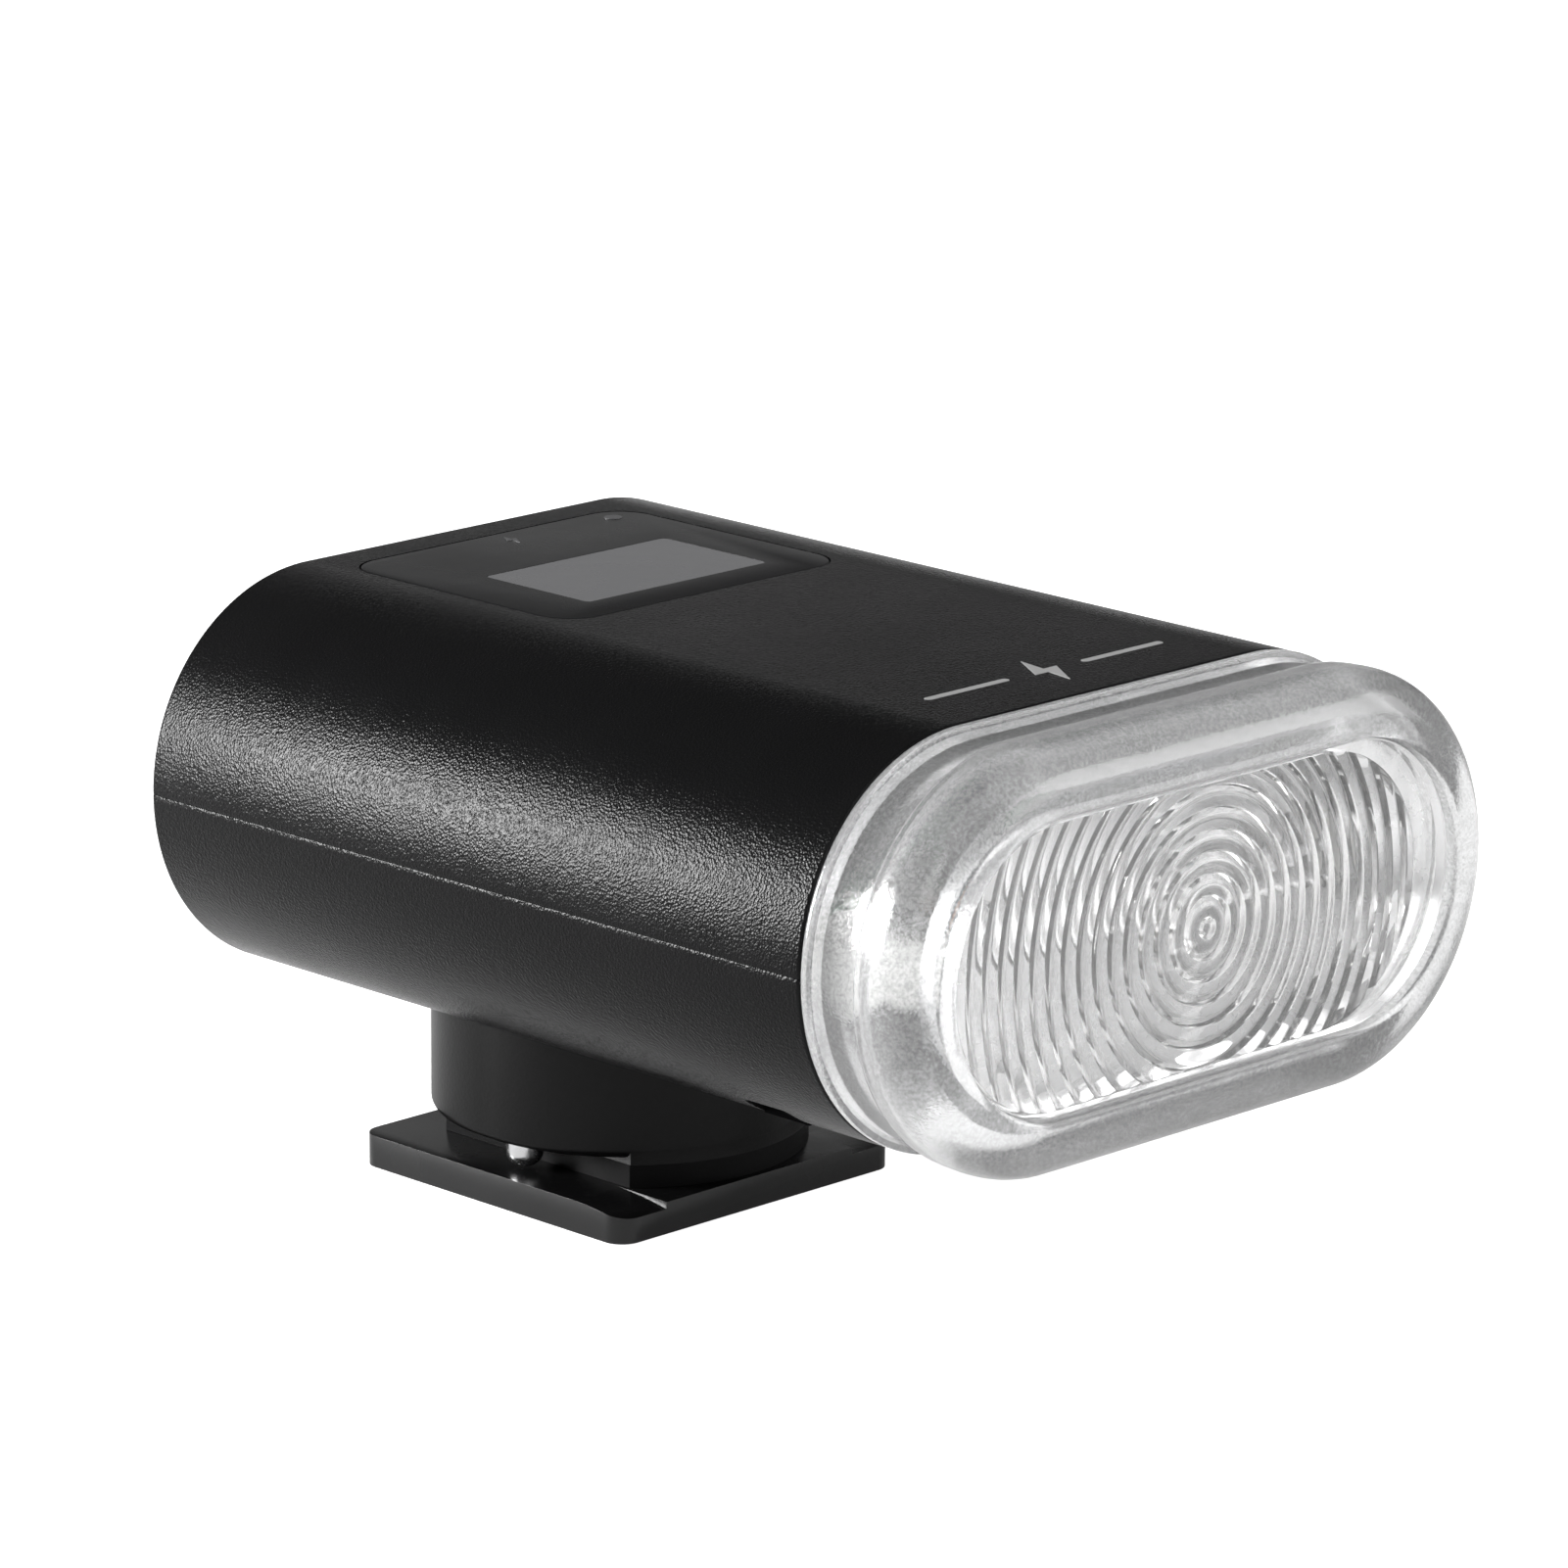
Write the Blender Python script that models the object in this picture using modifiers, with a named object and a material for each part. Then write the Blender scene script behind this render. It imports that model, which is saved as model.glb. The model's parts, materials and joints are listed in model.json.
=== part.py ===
"""Compact hot-shoe speedlight flash, modelled as an assembly of separate pieces.

Frame: metres, +Z up, origin on the tip of the centre contact, in the middle of the shoe foot's
underside. The flash fires along -Y, and +Y is the back that the photographer sees.
"""
import math

import bmesh
import bpy
from mathutils import Vector

MM = 0.001
GAP = 0.3 * MM  # clearance between pieces that touch on the real flash

# Body: a tube of stadium section, lying along Y
BODY_WIDTH = 39.4 * MM
BODY_HEIGHT = 19.8 * MM
BODY_MID = 20.0 * MM
BODY_FRONT, BODY_REAR = -31.3 * MM, 12.5 * MM
WALL = 1.6 * MM
INSIDE = WALL + GAP
UNDERSIDE_Z = 10.95 * MM  # flat underside above and behind the neck's plate
SLOT_Y, SLOT_TOP, SLOT_INNER = (-26.5 * MM, -23.6 * MM), 12.0 * MM, 13.9 * MM  # low on both sides
ARC_STEPS = 8  # facets in a quarter of the section's round ends

# Display panel, let into the flat top
PANEL_SIZE = (18.6 * MM, 15.8 * MM)
PANEL_Y = 2.3 * MM
PANEL_BOTTOM, PANEL_TOP = 29.0 * MM, 29.9 * MM
PANEL_CORNER = 2.0 * MM
WINDOW_LOW, WINDOW_HIGH = (-6.3 * MM, -3.1 * MM), (6.3 * MM, 4.1 * MM)
INDICATORS = {"indicator_power": 0.6 * MM, "indicator_ready": 7.4 * MM}
INDICATOR_Y = 8.6 * MM

# Clear head
HEAD_FRONT = -38.2 * MM
BAND_FRONT, SPIGOT_REAR = -34.5 * MM, -28.6 * MM
LENS_INSET = 3.0 * MM
TUBE_SPOT = (-31.4 * MM, BODY_MID)
TUBE_RADIUS, TUBE_HALF = 1.6 * MM, 15.4 * MM

# Neck, and the plate it carries under the body
NECK_Y = 0.9 * MM
NECK_RADIUS = 9.0 * MM
NECK_LENGTH = 2 * NECK_RADIUS + NECK_Y
NECK_BOTTOM, NECK_FLOOR = 3.05 * MM, 6.9 * MM
NECK_BORE = 5.2 * MM
PLATE_FRONT, PLATE_REAR = -22.3 * MM, 9.0 * MM
PLATE_TOP = UNDERSIDE_Z - GAP
PAD_TOP = 12.6 * MM
NECK_SCREW = 5.2 * MM

# Shoe foot, to the ISO 518 accessory shoe
FOOT_SIZE = (18.6 * MM, 18.5 * MM)
FOOT_TOP = 1.6 * MM
WEB_RADIUS, WEB_HALF = 8.8 * MM, 6.1 * MM
LEAD_IN = ((-6.2, 1.6), (-9.8, 1.2), (-9.8, 2.0), (-6.2, 2.0))  # (y, z) of the flanges' taper, mm
PIN_X, PIN_Y = 7.45 * MM, -0.6 * MM
FOOT_SCREW_X, FOOT_SCREW_Y = 4.4 * MM, 5.2 * MM

# Rear cover and what comes through it
COVER_FRONT, COVER_BACK = 10.0 * MM, 11.4 * MM
BUTTON_Z = 22.6 * MM
BUTTON_SIZE = (5.6 * MM, 3.2 * MM)
BUTTONS = {"mode": -4.6 * MM, "minus": 2.6 * MM, "plus": 9.8 * MM}
POWER_X, POWER_RADIUS = -11.7 * MM, 2.4 * MM
FLANGE_FRONT, FLANGE_BACK, BUTTON_BACK = 9.0 * MM, 9.7 * MM, 12.1 * MM
USB_SIZE = (8.9 * MM, 3.2 * MM)
USB_X, USB_Z = 10.05 * MM, 18.0 * MM
POST_INNER, POST_SCREW_X = 15.1 * MM, 16.1 * MM
POSTS = {"lower": (16.2 * MM, 19.5 * MM, 18.1 * MM), "upper": (21.2 * MM, 23.8 * MM, 22.3 * MM)}

# Circuit board and the parts around it
BOARD_BOTTOM, BOARD_TOP = 19.9 * MM, 20.9 * MM
BOARD_SCREWS = (-12.0 * MM, 4.6 * MM)
BOARD_SCREW_Y = -23.6 * MM
PART_BOTTOM = BOARD_TOP + GAP


# ---------------------------------------------------------------- scene and materials


def new_collection(name):
    made = bpy.data.collections.new(name)
    bpy.context.scene.collection.children.link(made)
    return made


def new_material(name, colour, roughness, metallic=0.0, transmission=0.0):
    made = bpy.data.materials.new(name)
    made.use_nodes = True
    shader = made.node_tree.nodes["Principled BSDF"]
    shader.inputs["Base Color"].default_value = (*colour, 1.0)
    shader.inputs["Roughness"].default_value = roughness
    shader.inputs["Metallic"].default_value = metallic
    shader.inputs["Transmission Weight"].default_value = transmission
    return made


for old in list(bpy.data.objects):
    bpy.data.objects.remove(old)
FLASH = new_collection("speedlight_flash")
CUTTERS = new_collection("cutters")
LOOKS = {
    "black": ((0.022, 0.022, 0.024), 0.55, 0.0, 0.0),
    "foot": ((0.025, 0.025, 0.027), 0.35, 0.0, 0.0),
    "gloss": ((0.045, 0.045, 0.05), 0.12, 0.0, 0.0),
    "clear": ((0.9, 0.92, 0.94), 0.08, 0.0, 0.9),
    "mirror": ((0.85, 0.86, 0.88), 0.12, 1.0, 0.0),
    "glass": ((0.92, 0.92, 0.92), 0.03, 0.0, 0.95),
    "steel": ((0.72, 0.72, 0.74), 0.25, 1.0, 0.0),
    "brass": ((0.80, 0.62, 0.30), 0.3, 1.0, 0.0),
    "board": ((0.02, 0.16, 0.07), 0.45, 0.0, 0.0),
    "chip": ((0.03, 0.03, 0.03), 0.5, 0.0, 0.0),
    "foil": ((0.55, 0.56, 0.58), 0.35, 1.0, 0.0),
    "can": ((0.05, 0.06, 0.10), 0.3, 0.0, 0.0),
    "copper": ((0.65, 0.30, 0.14), 0.35, 1.0, 0.0),
    "silicone": ((0.82, 0.82, 0.80), 0.5, 0.0, 0.0),
    "screen": ((0.30, 0.31, 0.32), 0.15, 0.0, 0.0),
    "lamp": ((0.75, 0.85, 0.70), 0.3, 0.0, 0.0),
}


# ---------------------------------------------------------------- shape helpers


def mesh_object(name, bm, at=(0, 0, 0), look=None):
    """Turns a bmesh into an object of the flash. Each piece has its own material."""
    bmesh.ops.recalc_face_normals(bm, faces=bm.faces)
    mesh = bpy.data.meshes.new(name)
    bm.to_mesh(mesh)
    bm.free()
    made = bpy.data.objects.new(name, mesh)
    made.location = at
    FLASH.objects.link(made)
    if look:
        mesh.materials.append(new_material(f"{name}_{look}", *LOOKS[look]))
    return made


def block(name, low, high, look=None, soft=0.0):
    """A box between two corners, its edges rounded where `soft` is given."""
    low, high = Vector(low), Vector(high)
    bm = bmesh.new()
    bmesh.ops.create_cube(bm, size=1.0)
    bmesh.ops.scale(bm, vec=high - low, verts=bm.verts)
    if soft:
        bmesh.ops.bevel(bm, geom=bm.edges, offset=soft, segments=2, profile=0.5, affect="EDGES")
    return mesh_object(name, bm, (low + high) / 2, look)


def stadium(width, height, steps=ARC_STEPS):
    """An outline with two half-round ends, centred on the origin."""
    radius = height / 2
    reach = width / 2 - radius
    points = []
    for end in (1, -1):
        for step in range(2 * steps + 1):
            angle = math.pi / 2 * (step / steps - 1)
            points.append((end * (reach + radius * math.cos(angle)), end * radius * math.sin(angle)))
    return points


def section(offset):
    """The body's section, grown by an offset."""
    return stadium(BODY_WIDTH + 2 * offset, BODY_HEIGHT + 2 * offset)


def rounded_rectangle(width, height, corner, steps=4):
    """An outline with four round corners, centred on the origin."""
    points = []
    for quarter, (sx, sy) in enumerate(((1, 1), (-1, 1), (-1, -1), (1, -1))):
        for step in range(steps + 1):
            angle = math.pi / 2 * (quarter + step / steps)
            x = sx * (width / 2 - corner) + corner * math.cos(angle)
            points.append((x, sy * (height / 2 - corner) + corner * math.sin(angle)))
    return points


def prism(name, outline, low, high, axis="Y", at=(0, 0, 0), look=None, soft_low=0.0, soft_high=0.0):
    """An outline extruded along an axis, with its end edges rounded where asked.

    The outline's pairs are (y, z) along X, (x, z) along Y and (x, y) along Z.
    """
    order = {"X": (2, 0, 1), "Y": (0, 2, 1), "Z": (0, 1, 2)}[axis]
    along = "XYZ".index(axis)
    bm = bmesh.new()
    verts = []
    for pair in outline:
        spot = (*pair, low)
        verts.append(bm.verts.new([spot[index] for index in order]))
    made = bmesh.ops.extrude_face_region(bm, geom=[bm.faces.new(verts)])["geom"]
    for vert in made:
        if isinstance(vert, bmesh.types.BMVert):
            vert.co[along] = high
    for end, soft in ((low, soft_low), (high, soft_high)):
        rim = [edge for edge in bm.edges if all(abs(v.co[along] - end) < 1e-7 for v in edge.verts)]
        if soft:
            bmesh.ops.bevel(bm, geom=rim, offset=soft, segments=3, profile=0.5, affect="EDGES")
    return mesh_object(name, bm, at, look)


def turned(name, profile, at, direction="Z", steps=16, look=None):
    """A turned shape. Its (radius, height) pairs run down the outer side, top to bottom."""
    bm = bmesh.new()
    verts = [bm.verts.new((radius, 0.0, height)) for radius, height in profile]
    for first, second in zip(verts, verts[1:]):
        bm.edges.new((first, second))
    made = mesh_object(name, bm, at, look)
    made.rotation_euler = {"X": (0, math.pi / 2, 0), "Y": (-math.pi / 2, 0, 0), "Z": (0, 0, 0)}[direction]
    screw = made.modifiers.new("turn", "SCREW")
    screw.steps = screw.render_steps = steps
    screw.use_merge_vertices = True
    screw.merge_threshold = 0.01 * MM
    return made


def rod(name, radius, low, high, spot, direction="Z", steps=16, look=None):
    """A cylinder from low to high along its direction, its axis at a spot in the other two."""
    first, second = spot
    at = {"X": (0, first, second), "Y": (first, 0, second), "Z": (first, second, 0)}[direction]
    return turned(name, ((0, high), (radius, high), (radius, low), (0, low)), at, direction, steps, look)


def combine(target, operation, others):
    """Cuts or joins with other objects, which then stay hidden among the cutters."""
    for other in others:
        FLASH.objects.unlink(other)
        CUTTERS.objects.link(other)
        other.hide_render = True
        other.display_type = "WIRE"
        modifier = target.modifiers.new(other.name, "BOOLEAN")
        modifier.operation = operation
        modifier.solver = "EXACT"
        modifier.object = other
    return target


def cut(target, *others):
    return combine(target, "DIFFERENCE", others)


def join(target, *others):
    return combine(target, "UNION", others)


def coil(name, spot, low, high, radius, wire, turns, look):
    """A compression spring standing along Z."""
    around = 10
    curve = bpy.data.curves.new(name, "CURVE")
    curve.dimensions = "3D"
    curve.bevel_depth = wire / 2
    curve.bevel_resolution = 1
    curve.use_fill_caps = True
    spline = curve.splines.new("POLY")
    spline.points.add(turns * around)
    start, rise = low + wire / 2, high - low - wire
    for step, point in enumerate(spline.points):
        angle = 2 * math.pi * step / around
        height = start + rise * step / (turns * around)
        point.co = (radius * math.cos(angle), radius * math.sin(angle), height, 1.0)
    made = bpy.data.objects.new(name, curve)
    made.location = (*spot, 0.0)
    FLASH.objects.link(made)
    curve.materials.append(new_material(f"{name}_{look}", *LOOKS[look]))
    return made


def screw(name, at, head, shank, length, direction="Z", up=True):
    """A pan-head screw with a cross recess. `at` is the middle of its head's outer face, and
    `up` says that the head is at the positive end."""
    radius, height = head
    profile = [(0, 0), (radius, 0), (radius, -height), (shank, -height), (shank, -length), (0, -length)]
    if not up:
        profile = [(across, -along) for across, along in reversed(profile)]
    made = turned(name, profile, at, direction, 12, "steel")
    arm, blade, depth = radius * 0.62, radius * 0.17, height * 0.55
    for long, short in ((arm, blade), (blade, arm)):
        reach = Vector((long, short, depth) if direction == "Z" else (long, depth, short))
        cut(made, block(f"{name}_recess", Vector(at) - reach, Vector(at) + reach))
    return made


# ---------------------------------------------------------------- body


def body_shell(name, half):
    """One half of the body's tube, with the two posts that take the rear cover's screws."""
    split = BODY_MID + (GAP / 2 if half == "upper" else -GAP / 2)
    away = -1 if half == "upper" else 1
    at = (0, 0, BODY_MID)
    soft = 0.3 * MM
    made = prism(name, section(0), BODY_FRONT, BODY_REAR, at=at, look="black", soft_low=soft, soft_high=soft)
    cut(made, prism(f"{name}_bore", section(-WALL), -40 * MM, 20 * MM, at=at))
    edges = sorted((split, split + away * 30 * MM))
    cut(made, block(f"{name}_half", (-0.03, -0.04, edges[0]), (0.03, 0.02, edges[1])))
    low, high, hole_z = POSTS[half]
    for side in (-1, 1):
        across = sorted((side * POST_INNER, side * 18.3 * MM))
        corners = (across[0], 4.5 * MM, low), (across[1], COVER_FRONT - GAP, high)
        join(made, block(f"{name}_post", *corners))
        spot = (side * POST_SCREW_X, hole_z)
        cut(made, rod(f"{name}_post_hole", 0.8 * MM, 5.5 * MM, 10.5 * MM, spot, "Y", 12))
    return made


def build_shells():
    upper = body_shell("upper_shell", "upper")
    size = [length + 2 * GAP for length in PANEL_SIZE]
    pocket = rounded_rectangle(*size, PANEL_CORNER + GAP)
    cut(upper, prism("panel_pocket", pocket, PANEL_BOTTOM - GAP, 0.031, "Z", (0, PANEL_Y, 0)))
    cut(upper, block("display_window", (*WINDOW_LOW, 0.028), (*WINDOW_HIGH, 0.029)))
    for name, x in INDICATORS.items():
        cut(upper, rod(f"{name}_hole", 1.2 * MM, 0.028, 0.029, (x, INDICATOR_Y), steps=12))

    lower = body_shell("lower_shell", "lower")
    cut(lower, block("underside_flat", (-0.02, PLATE_FRONT - GAP, 0.009), (0.02, 0.02, UNDERSIDE_Z)))
    for side in (-1, 1):
        low, high = sorted((side * SLOT_INNER, side * 0.02))
        cut(lower, block("side_slot", (low, SLOT_Y[0], 0.009), (high, SLOT_Y[1], SLOT_TOP)))
    join(lower, block("neck_pad", (-8.2 * MM, -6.9 * MM, 11.2 * MM), (8.2 * MM, 8.7 * MM, PAD_TOP)))
    cut(lower, rod("lead_hole", 3.6 * MM, 0.010, 0.014, (0, NECK_Y)))
    for x, y in neck_screw_spots():
        cut(lower, rod("neck_screw_hole", 0.9 * MM, 0.010, 0.014, (x, y), steps=12))
    for x in BOARD_SCREWS:
        spot = (x, BOARD_SCREW_Y)
        join(lower, rod("board_post", 1.8 * MM, 11.3 * MM, BOARD_BOTTOM - GAP, spot, steps=12))
        cut(lower, rod("board_post_hole", 0.9 * MM, 14.5 * MM, BOARD_TOP, spot, steps=12))


def build_display():
    """The glossy panel on top, and the display and two indicator lamps that show through it."""
    outline = rounded_rectangle(*PANEL_SIZE, PANEL_CORNER)
    at = (0, PANEL_Y, 0)
    prism("top_panel", outline, PANEL_BOTTOM, PANEL_TOP, "Z", at, "gloss", soft_high=0.15 * MM)
    block("display_board", (-9.2 * MM, -4.6 * MM, 25.2 * MM), (9.2 * MM, 9.6 * MM, 26.0 * MM), "board")
    block("oled_module", (-7.4 * MM, -4.2 * MM, 26.3 * MM), (7.4 * MM, 5.0 * MM, 28.0 * MM), "screen")
    for name, x in INDICATORS.items():
        low = (x - 0.8 * MM, INDICATOR_Y - 0.4 * MM, 26.3 * MM)
        block(name, low, (x + 0.8 * MM, INDICATOR_Y + 0.4 * MM, 28.5 * MM), "lamp", 0.1 * MM)


# ---------------------------------------------------------------- inside the body


def build_board():
    board = block("main_board", (-16.8 * MM, -26 * MM, BOARD_BOTTOM), (8.4 * MM, 8.3 * MM, BOARD_TOP), "board")
    join(board, block("board_wing", (8 * MM, 2.9 * MM, BOARD_BOTTOM), (14.8 * MM, 8.3 * MM, BOARD_TOP)))
    for index, x in enumerate(BOARD_SCREWS, 1):
        cut(board, rod("board_hole", 0.9 * MM, 0.019, 0.022, (x, BOARD_SCREW_Y), steps=12))
        top = (x, BOARD_SCREW_Y, PART_BOTTOM + 0.8 * MM)
        screw(f"board_screw_{index}", top, (1.4 * MM, 0.8 * MM), 0.6 * MM, 6.0 * MM)

    core = block("boost_transformer", (-13.2 * MM, -6.2 * MM, PART_BOTTOM), (-3 * MM, 4.6 * MM, 24.9 * MM), "chip")
    window_low, window_high = (-11.6 * MM, -7 * MM, 22.2 * MM), (-4.6 * MM, 5 * MM, 23.9 * MM)
    cut(core, block("transformer_window", window_low, window_high))
    join(core, block("transformer_coil", (-10.6 * MM, -6 * MM, 22 * MM), (-5.6 * MM, 4.4 * MM, 24.1 * MM)))

    profile = [(0, 5.0), (3.0, 5.0), (3.0, 4.4), (2.3, 4.2), (2.3, 0.8), (3.0, 0.6), (3.0, 0), (0, 0)]
    profile = [(radius * MM, height * MM) for radius, height in profile]
    turned("trigger_coil", profile, (-11.5 * MM, -16.5 * MM, PART_BOTTOM), look="copper")
    chip = block("switching_chip", (-5.5 * MM, -21 * MM, PART_BOTTOM), (0.5 * MM, -15 * MM, 22.9 * MM), "chip")
    join(chip, block("chip_tab", (-5.0 * MM, -15.5 * MM, PART_BOTTOM), (0, -13.4 * MM, 21.7 * MM)))

    can = ((0, 2.3), (3.7, 2.3), (4.3, 1.7), (4.3, -22.4), (4.0, -22.7), (4.0, -23.1), (4.3, -23.4), (4.3, -25.2))
    can = [(radius * MM, y * MM) for radius, y in (*can, (3.9, -25.5), (0, -25.5))]
    turned("main_capacitor", can, (13.0 * MM, 0, 20.3 * MM), "Y", 20, "can")
    block("battery_cell", (-14.5 * MM, -20.5 * MM, 14.2 * MM), (5.3 * MM, 9.2 * MM, 19.5 * MM), "foil", 0.9 * MM)


def build_usb_socket():
    """A USB-C charging socket: an oval shell with a tongue inside, under the board's wing."""
    at = (USB_X, 0, USB_Z)
    width, height = USB_SIZE
    mouth_back, mouth_floor = 11.2 * MM, 5.0 * MM
    socket = prism("usb_c_socket", stadium(width, height, 4), 3.5 * MM, mouth_back, at=at, look="steel")
    inner = stadium(width - 0.6 * MM, height - 0.6 * MM, 4)
    cut(socket, prism("usb_mouth", inner, mouth_floor, 0.012, at=at))
    low = (USB_X - 3.3 * MM, 4.8 * MM, USB_Z - 0.35 * MM)
    join(socket, block("usb_tongue", low, (USB_X + 3.3 * MM, 10.6 * MM, USB_Z + 0.35 * MM)))


# ---------------------------------------------------------------- rear controls


def build_rear_cover():
    at = (0, 0, BODY_MID)
    cover = prism("rear_cover", section(-INSIDE), COVER_FRONT, COVER_BACK, at=at, look="black", soft_high=0.3 * MM)
    width, height = (length + 2 * GAP for length in BUTTON_SIZE)
    hole = rounded_rectangle(width, height, 1.2 * MM)
    for name, x in BUTTONS.items():
        cut(cover, prism(f"{name}_opening", hole, 0.009, 0.013, at=(x, 0, BUTTON_Z)))
    cut(cover, rod("power_opening", POWER_RADIUS + GAP, 0.009, 0.013, (POWER_X, BUTTON_Z), "Y", 20))
    mouth = stadium(*(length + 2 * GAP for length in USB_SIZE), 4)
    cut(cover, prism("usb_opening", mouth, 0.009, 0.013, at=(USB_X, 0, USB_Z)))
    for half in POSTS:
        for side, hand in ((-1, "left"), (1, "right")):
            spot = (side * POST_SCREW_X, POSTS[half][2])
            cut(cover, rod("cover_hole", 0.8 * MM, 0.009, 0.013, spot, "Y", 12))
            cut(cover, rod("cover_counterbore", 1.2 * MM, 10.8 * MM, 0.013, spot, "Y", 12))
            place = (spot[0], 11.8 * MM, spot[1])
            screw(f"cover_screw_{half}_{hand}", place, (0.9 * MM, 0.7 * MM), 0.5 * MM, 5.6 * MM, "Y")


def build_button(name, x, cap, flange):
    """A push button, its flange behind the cover, and the switch it presses."""
    at = (x, FLANGE_BACK, BUTTON_Z)
    travel_back = BUTTON_BACK - FLANGE_BACK
    look = {"at": at, "look": "black", "soft_high": 0.35 * MM}
    button = prism(f"button_{name}", cap, -0.2 * MM, travel_back, **look)
    join(button, prism(f"{name}_flange", flange, FLANGE_FRONT - FLANGE_BACK, 0, at=at))
    low = (x - 2.1 * MM, 5.4 * MM, PART_BOTTOM)
    switch = block(f"switch_{name}", low, (x + 2.1 * MM, 8.0 * MM, 23.8 * MM), "chip")
    join(switch, rod(f"{name}_plunger", 0.8 * MM, 7.8 * MM, 8.4 * MM, (x, BUTTON_Z), "Y", 12))


def build_buttons():
    width, height = BUTTON_SIZE
    cap = rounded_rectangle(width, height, 0.9 * MM)
    flange = rounded_rectangle(width + 1.2 * MM, height + 1.2 * MM, 1.0 * MM)
    for name, x in BUTTONS.items():
        build_button(name, x, cap, flange)
    round_cap = stadium(2 * POWER_RADIUS, 2 * POWER_RADIUS - 0.001 * MM, 5)
    round_flange = stadium(2 * POWER_RADIUS + 1.4 * MM, 2 * POWER_RADIUS + 1.399 * MM, 5)
    build_button("power", POWER_X, round_cap, round_flange)


# ---------------------------------------------------------------- head


def build_head():
    """The clear front housing with its lens, and the reflector and flash tube behind them."""
    at = (0, 0, BODY_MID)
    outer = section(0.1 * MM)
    housing = prism("lens_housing", outer, HEAD_FRONT, BAND_FRONT, at=at, look="clear", soft_low=2.3 * MM)
    join(housing, prism("head_band", section(-0.45 * MM), -34.7 * MM, BODY_FRONT - GAP, at=at))
    join(housing, prism("head_spigot", section(-INSIDE), -32 * MM, SPIGOT_REAR, at=at))
    cut(housing, prism("head_bore", section(GAP - LENS_INSET), -0.04, -0.028, at=at))
    lens = {"at": at, "look": "clear", "soft_low": 0.2 * MM}
    prism("fresnel_lens", section(-LENS_INSET), -37.8 * MM, -36.3 * MM, **lens)

    reflector = prism("reflector", section(-LENS_INSET), -36 * MM, -35 * MM, at=at, look="mirror")
    bowl = stadium(29.0 * MM, 13.4 * MM)
    join(reflector, prism("reflector_bowl", bowl, -35.4 * MM, -27.6 * MM, at=at, soft_high=4.4 * MM))
    hollow = stadium(27.6 * MM, 12.0 * MM)
    cut(reflector, prism("reflector_hollow", hollow, -0.038, -28.3 * MM, at=at, soft_high=4.2 * MM))
    cut(reflector, rod("tube_passage", TUBE_RADIUS + GAP, -0.02, 0.02, TUBE_SPOT, "X"))

    rod("flash_tube", TUBE_RADIUS, -TUBE_HALF, TUBE_HALF, TUBE_SPOT, "X", look="glass")
    for side, hand in ((-1, "left"), (1, "right")):
        low, high = sorted((side * 14.8 * MM, side * 16.3 * MM))
        boot = rod(f"tube_boot_{hand}", 2.3 * MM, low, high, TUBE_SPOT, "X", look="silicone")
        low, high = sorted((side * 14.0 * MM, side * (TUBE_HALF + GAP)))
        cut(boot, rod(f"boot_bore_{hand}", TUBE_RADIUS + GAP, low, high, TUBE_SPOT, "X"))


# ---------------------------------------------------------------- neck and foot


def neck_screw_spots():
    return [(sx * NECK_SCREW, NECK_Y + sy * NECK_SCREW) for sy in (-1, 1) for sx in (-1, 1)]


def foot_screw_spots():
    return [(sx * FOOT_SCREW_X, sy * FOOT_SCREW_Y) for sy in (-1, 1) for sx in (-1, 1)]


def web_outline():
    """A disc cut off flat where the camera's rails pass on either side."""
    first = math.acos(WEB_HALF / WEB_RADIUS)
    turns = [first + (math.pi - 2 * first) * step / 12 for step in range(13)]
    rear = [(WEB_RADIUS * math.cos(turn), WEB_RADIUS * math.sin(turn)) for turn in turns]
    return rear + [(-x, -y) for x, y in rear]


def build_neck():
    """The neck, slightly longer than wide, and the plate above it, screwed to the lower shell."""
    outline = [(-z, x) for x, z in stadium(NECK_LENGTH, 2 * NECK_RADIUS, 10)]
    look = {"at": (0, NECK_Y / 2, 0), "look": "black", "soft_low": 0.5 * MM}
    neck = prism("neck_mount", outline, NECK_BOTTOM, 10.4 * MM, "Z", **look)
    plate = prism("neck_plate", section(0), PLATE_FRONT, PLATE_REAR, at=(0, 0, BODY_MID))
    join(neck, cut(plate, block("plate_top", (-0.02, -0.03, PLATE_TOP), (0.02, 0.02, 0.031))))
    cut(neck, rod("neck_bore", NECK_BORE, NECK_FLOOR, 0.012, (0, NECK_Y), steps=24))
    cut(neck, rod("contact_hole", 2.1 * MM, 0.002, 5.0 * MM, (0, 0)))
    for side in (-1, 1):
        cut(neck, rod("pin_hole", 1.2 * MM, 0.002, 6.6 * MM, (side * PIN_X, PIN_Y)))
    for index, (x, y) in enumerate(neck_screw_spots(), 1):
        cut(neck, rod("neck_thread", 0.9 * MM, 7.6 * MM, 0.012, (x, y), steps=12))
        top = (x, y, PAD_TOP + GAP + 0.9 * MM)
        screw(f"neck_screw_{index}", top, (1.3 * MM, 0.9 * MM), 0.6 * MM, 5.8 * MM)
    for x, y in foot_screw_spots():
        cut(neck, rod("foot_thread", 0.9 * MM, 0.002, 6.0 * MM, (x, y), steps=12))


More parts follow.
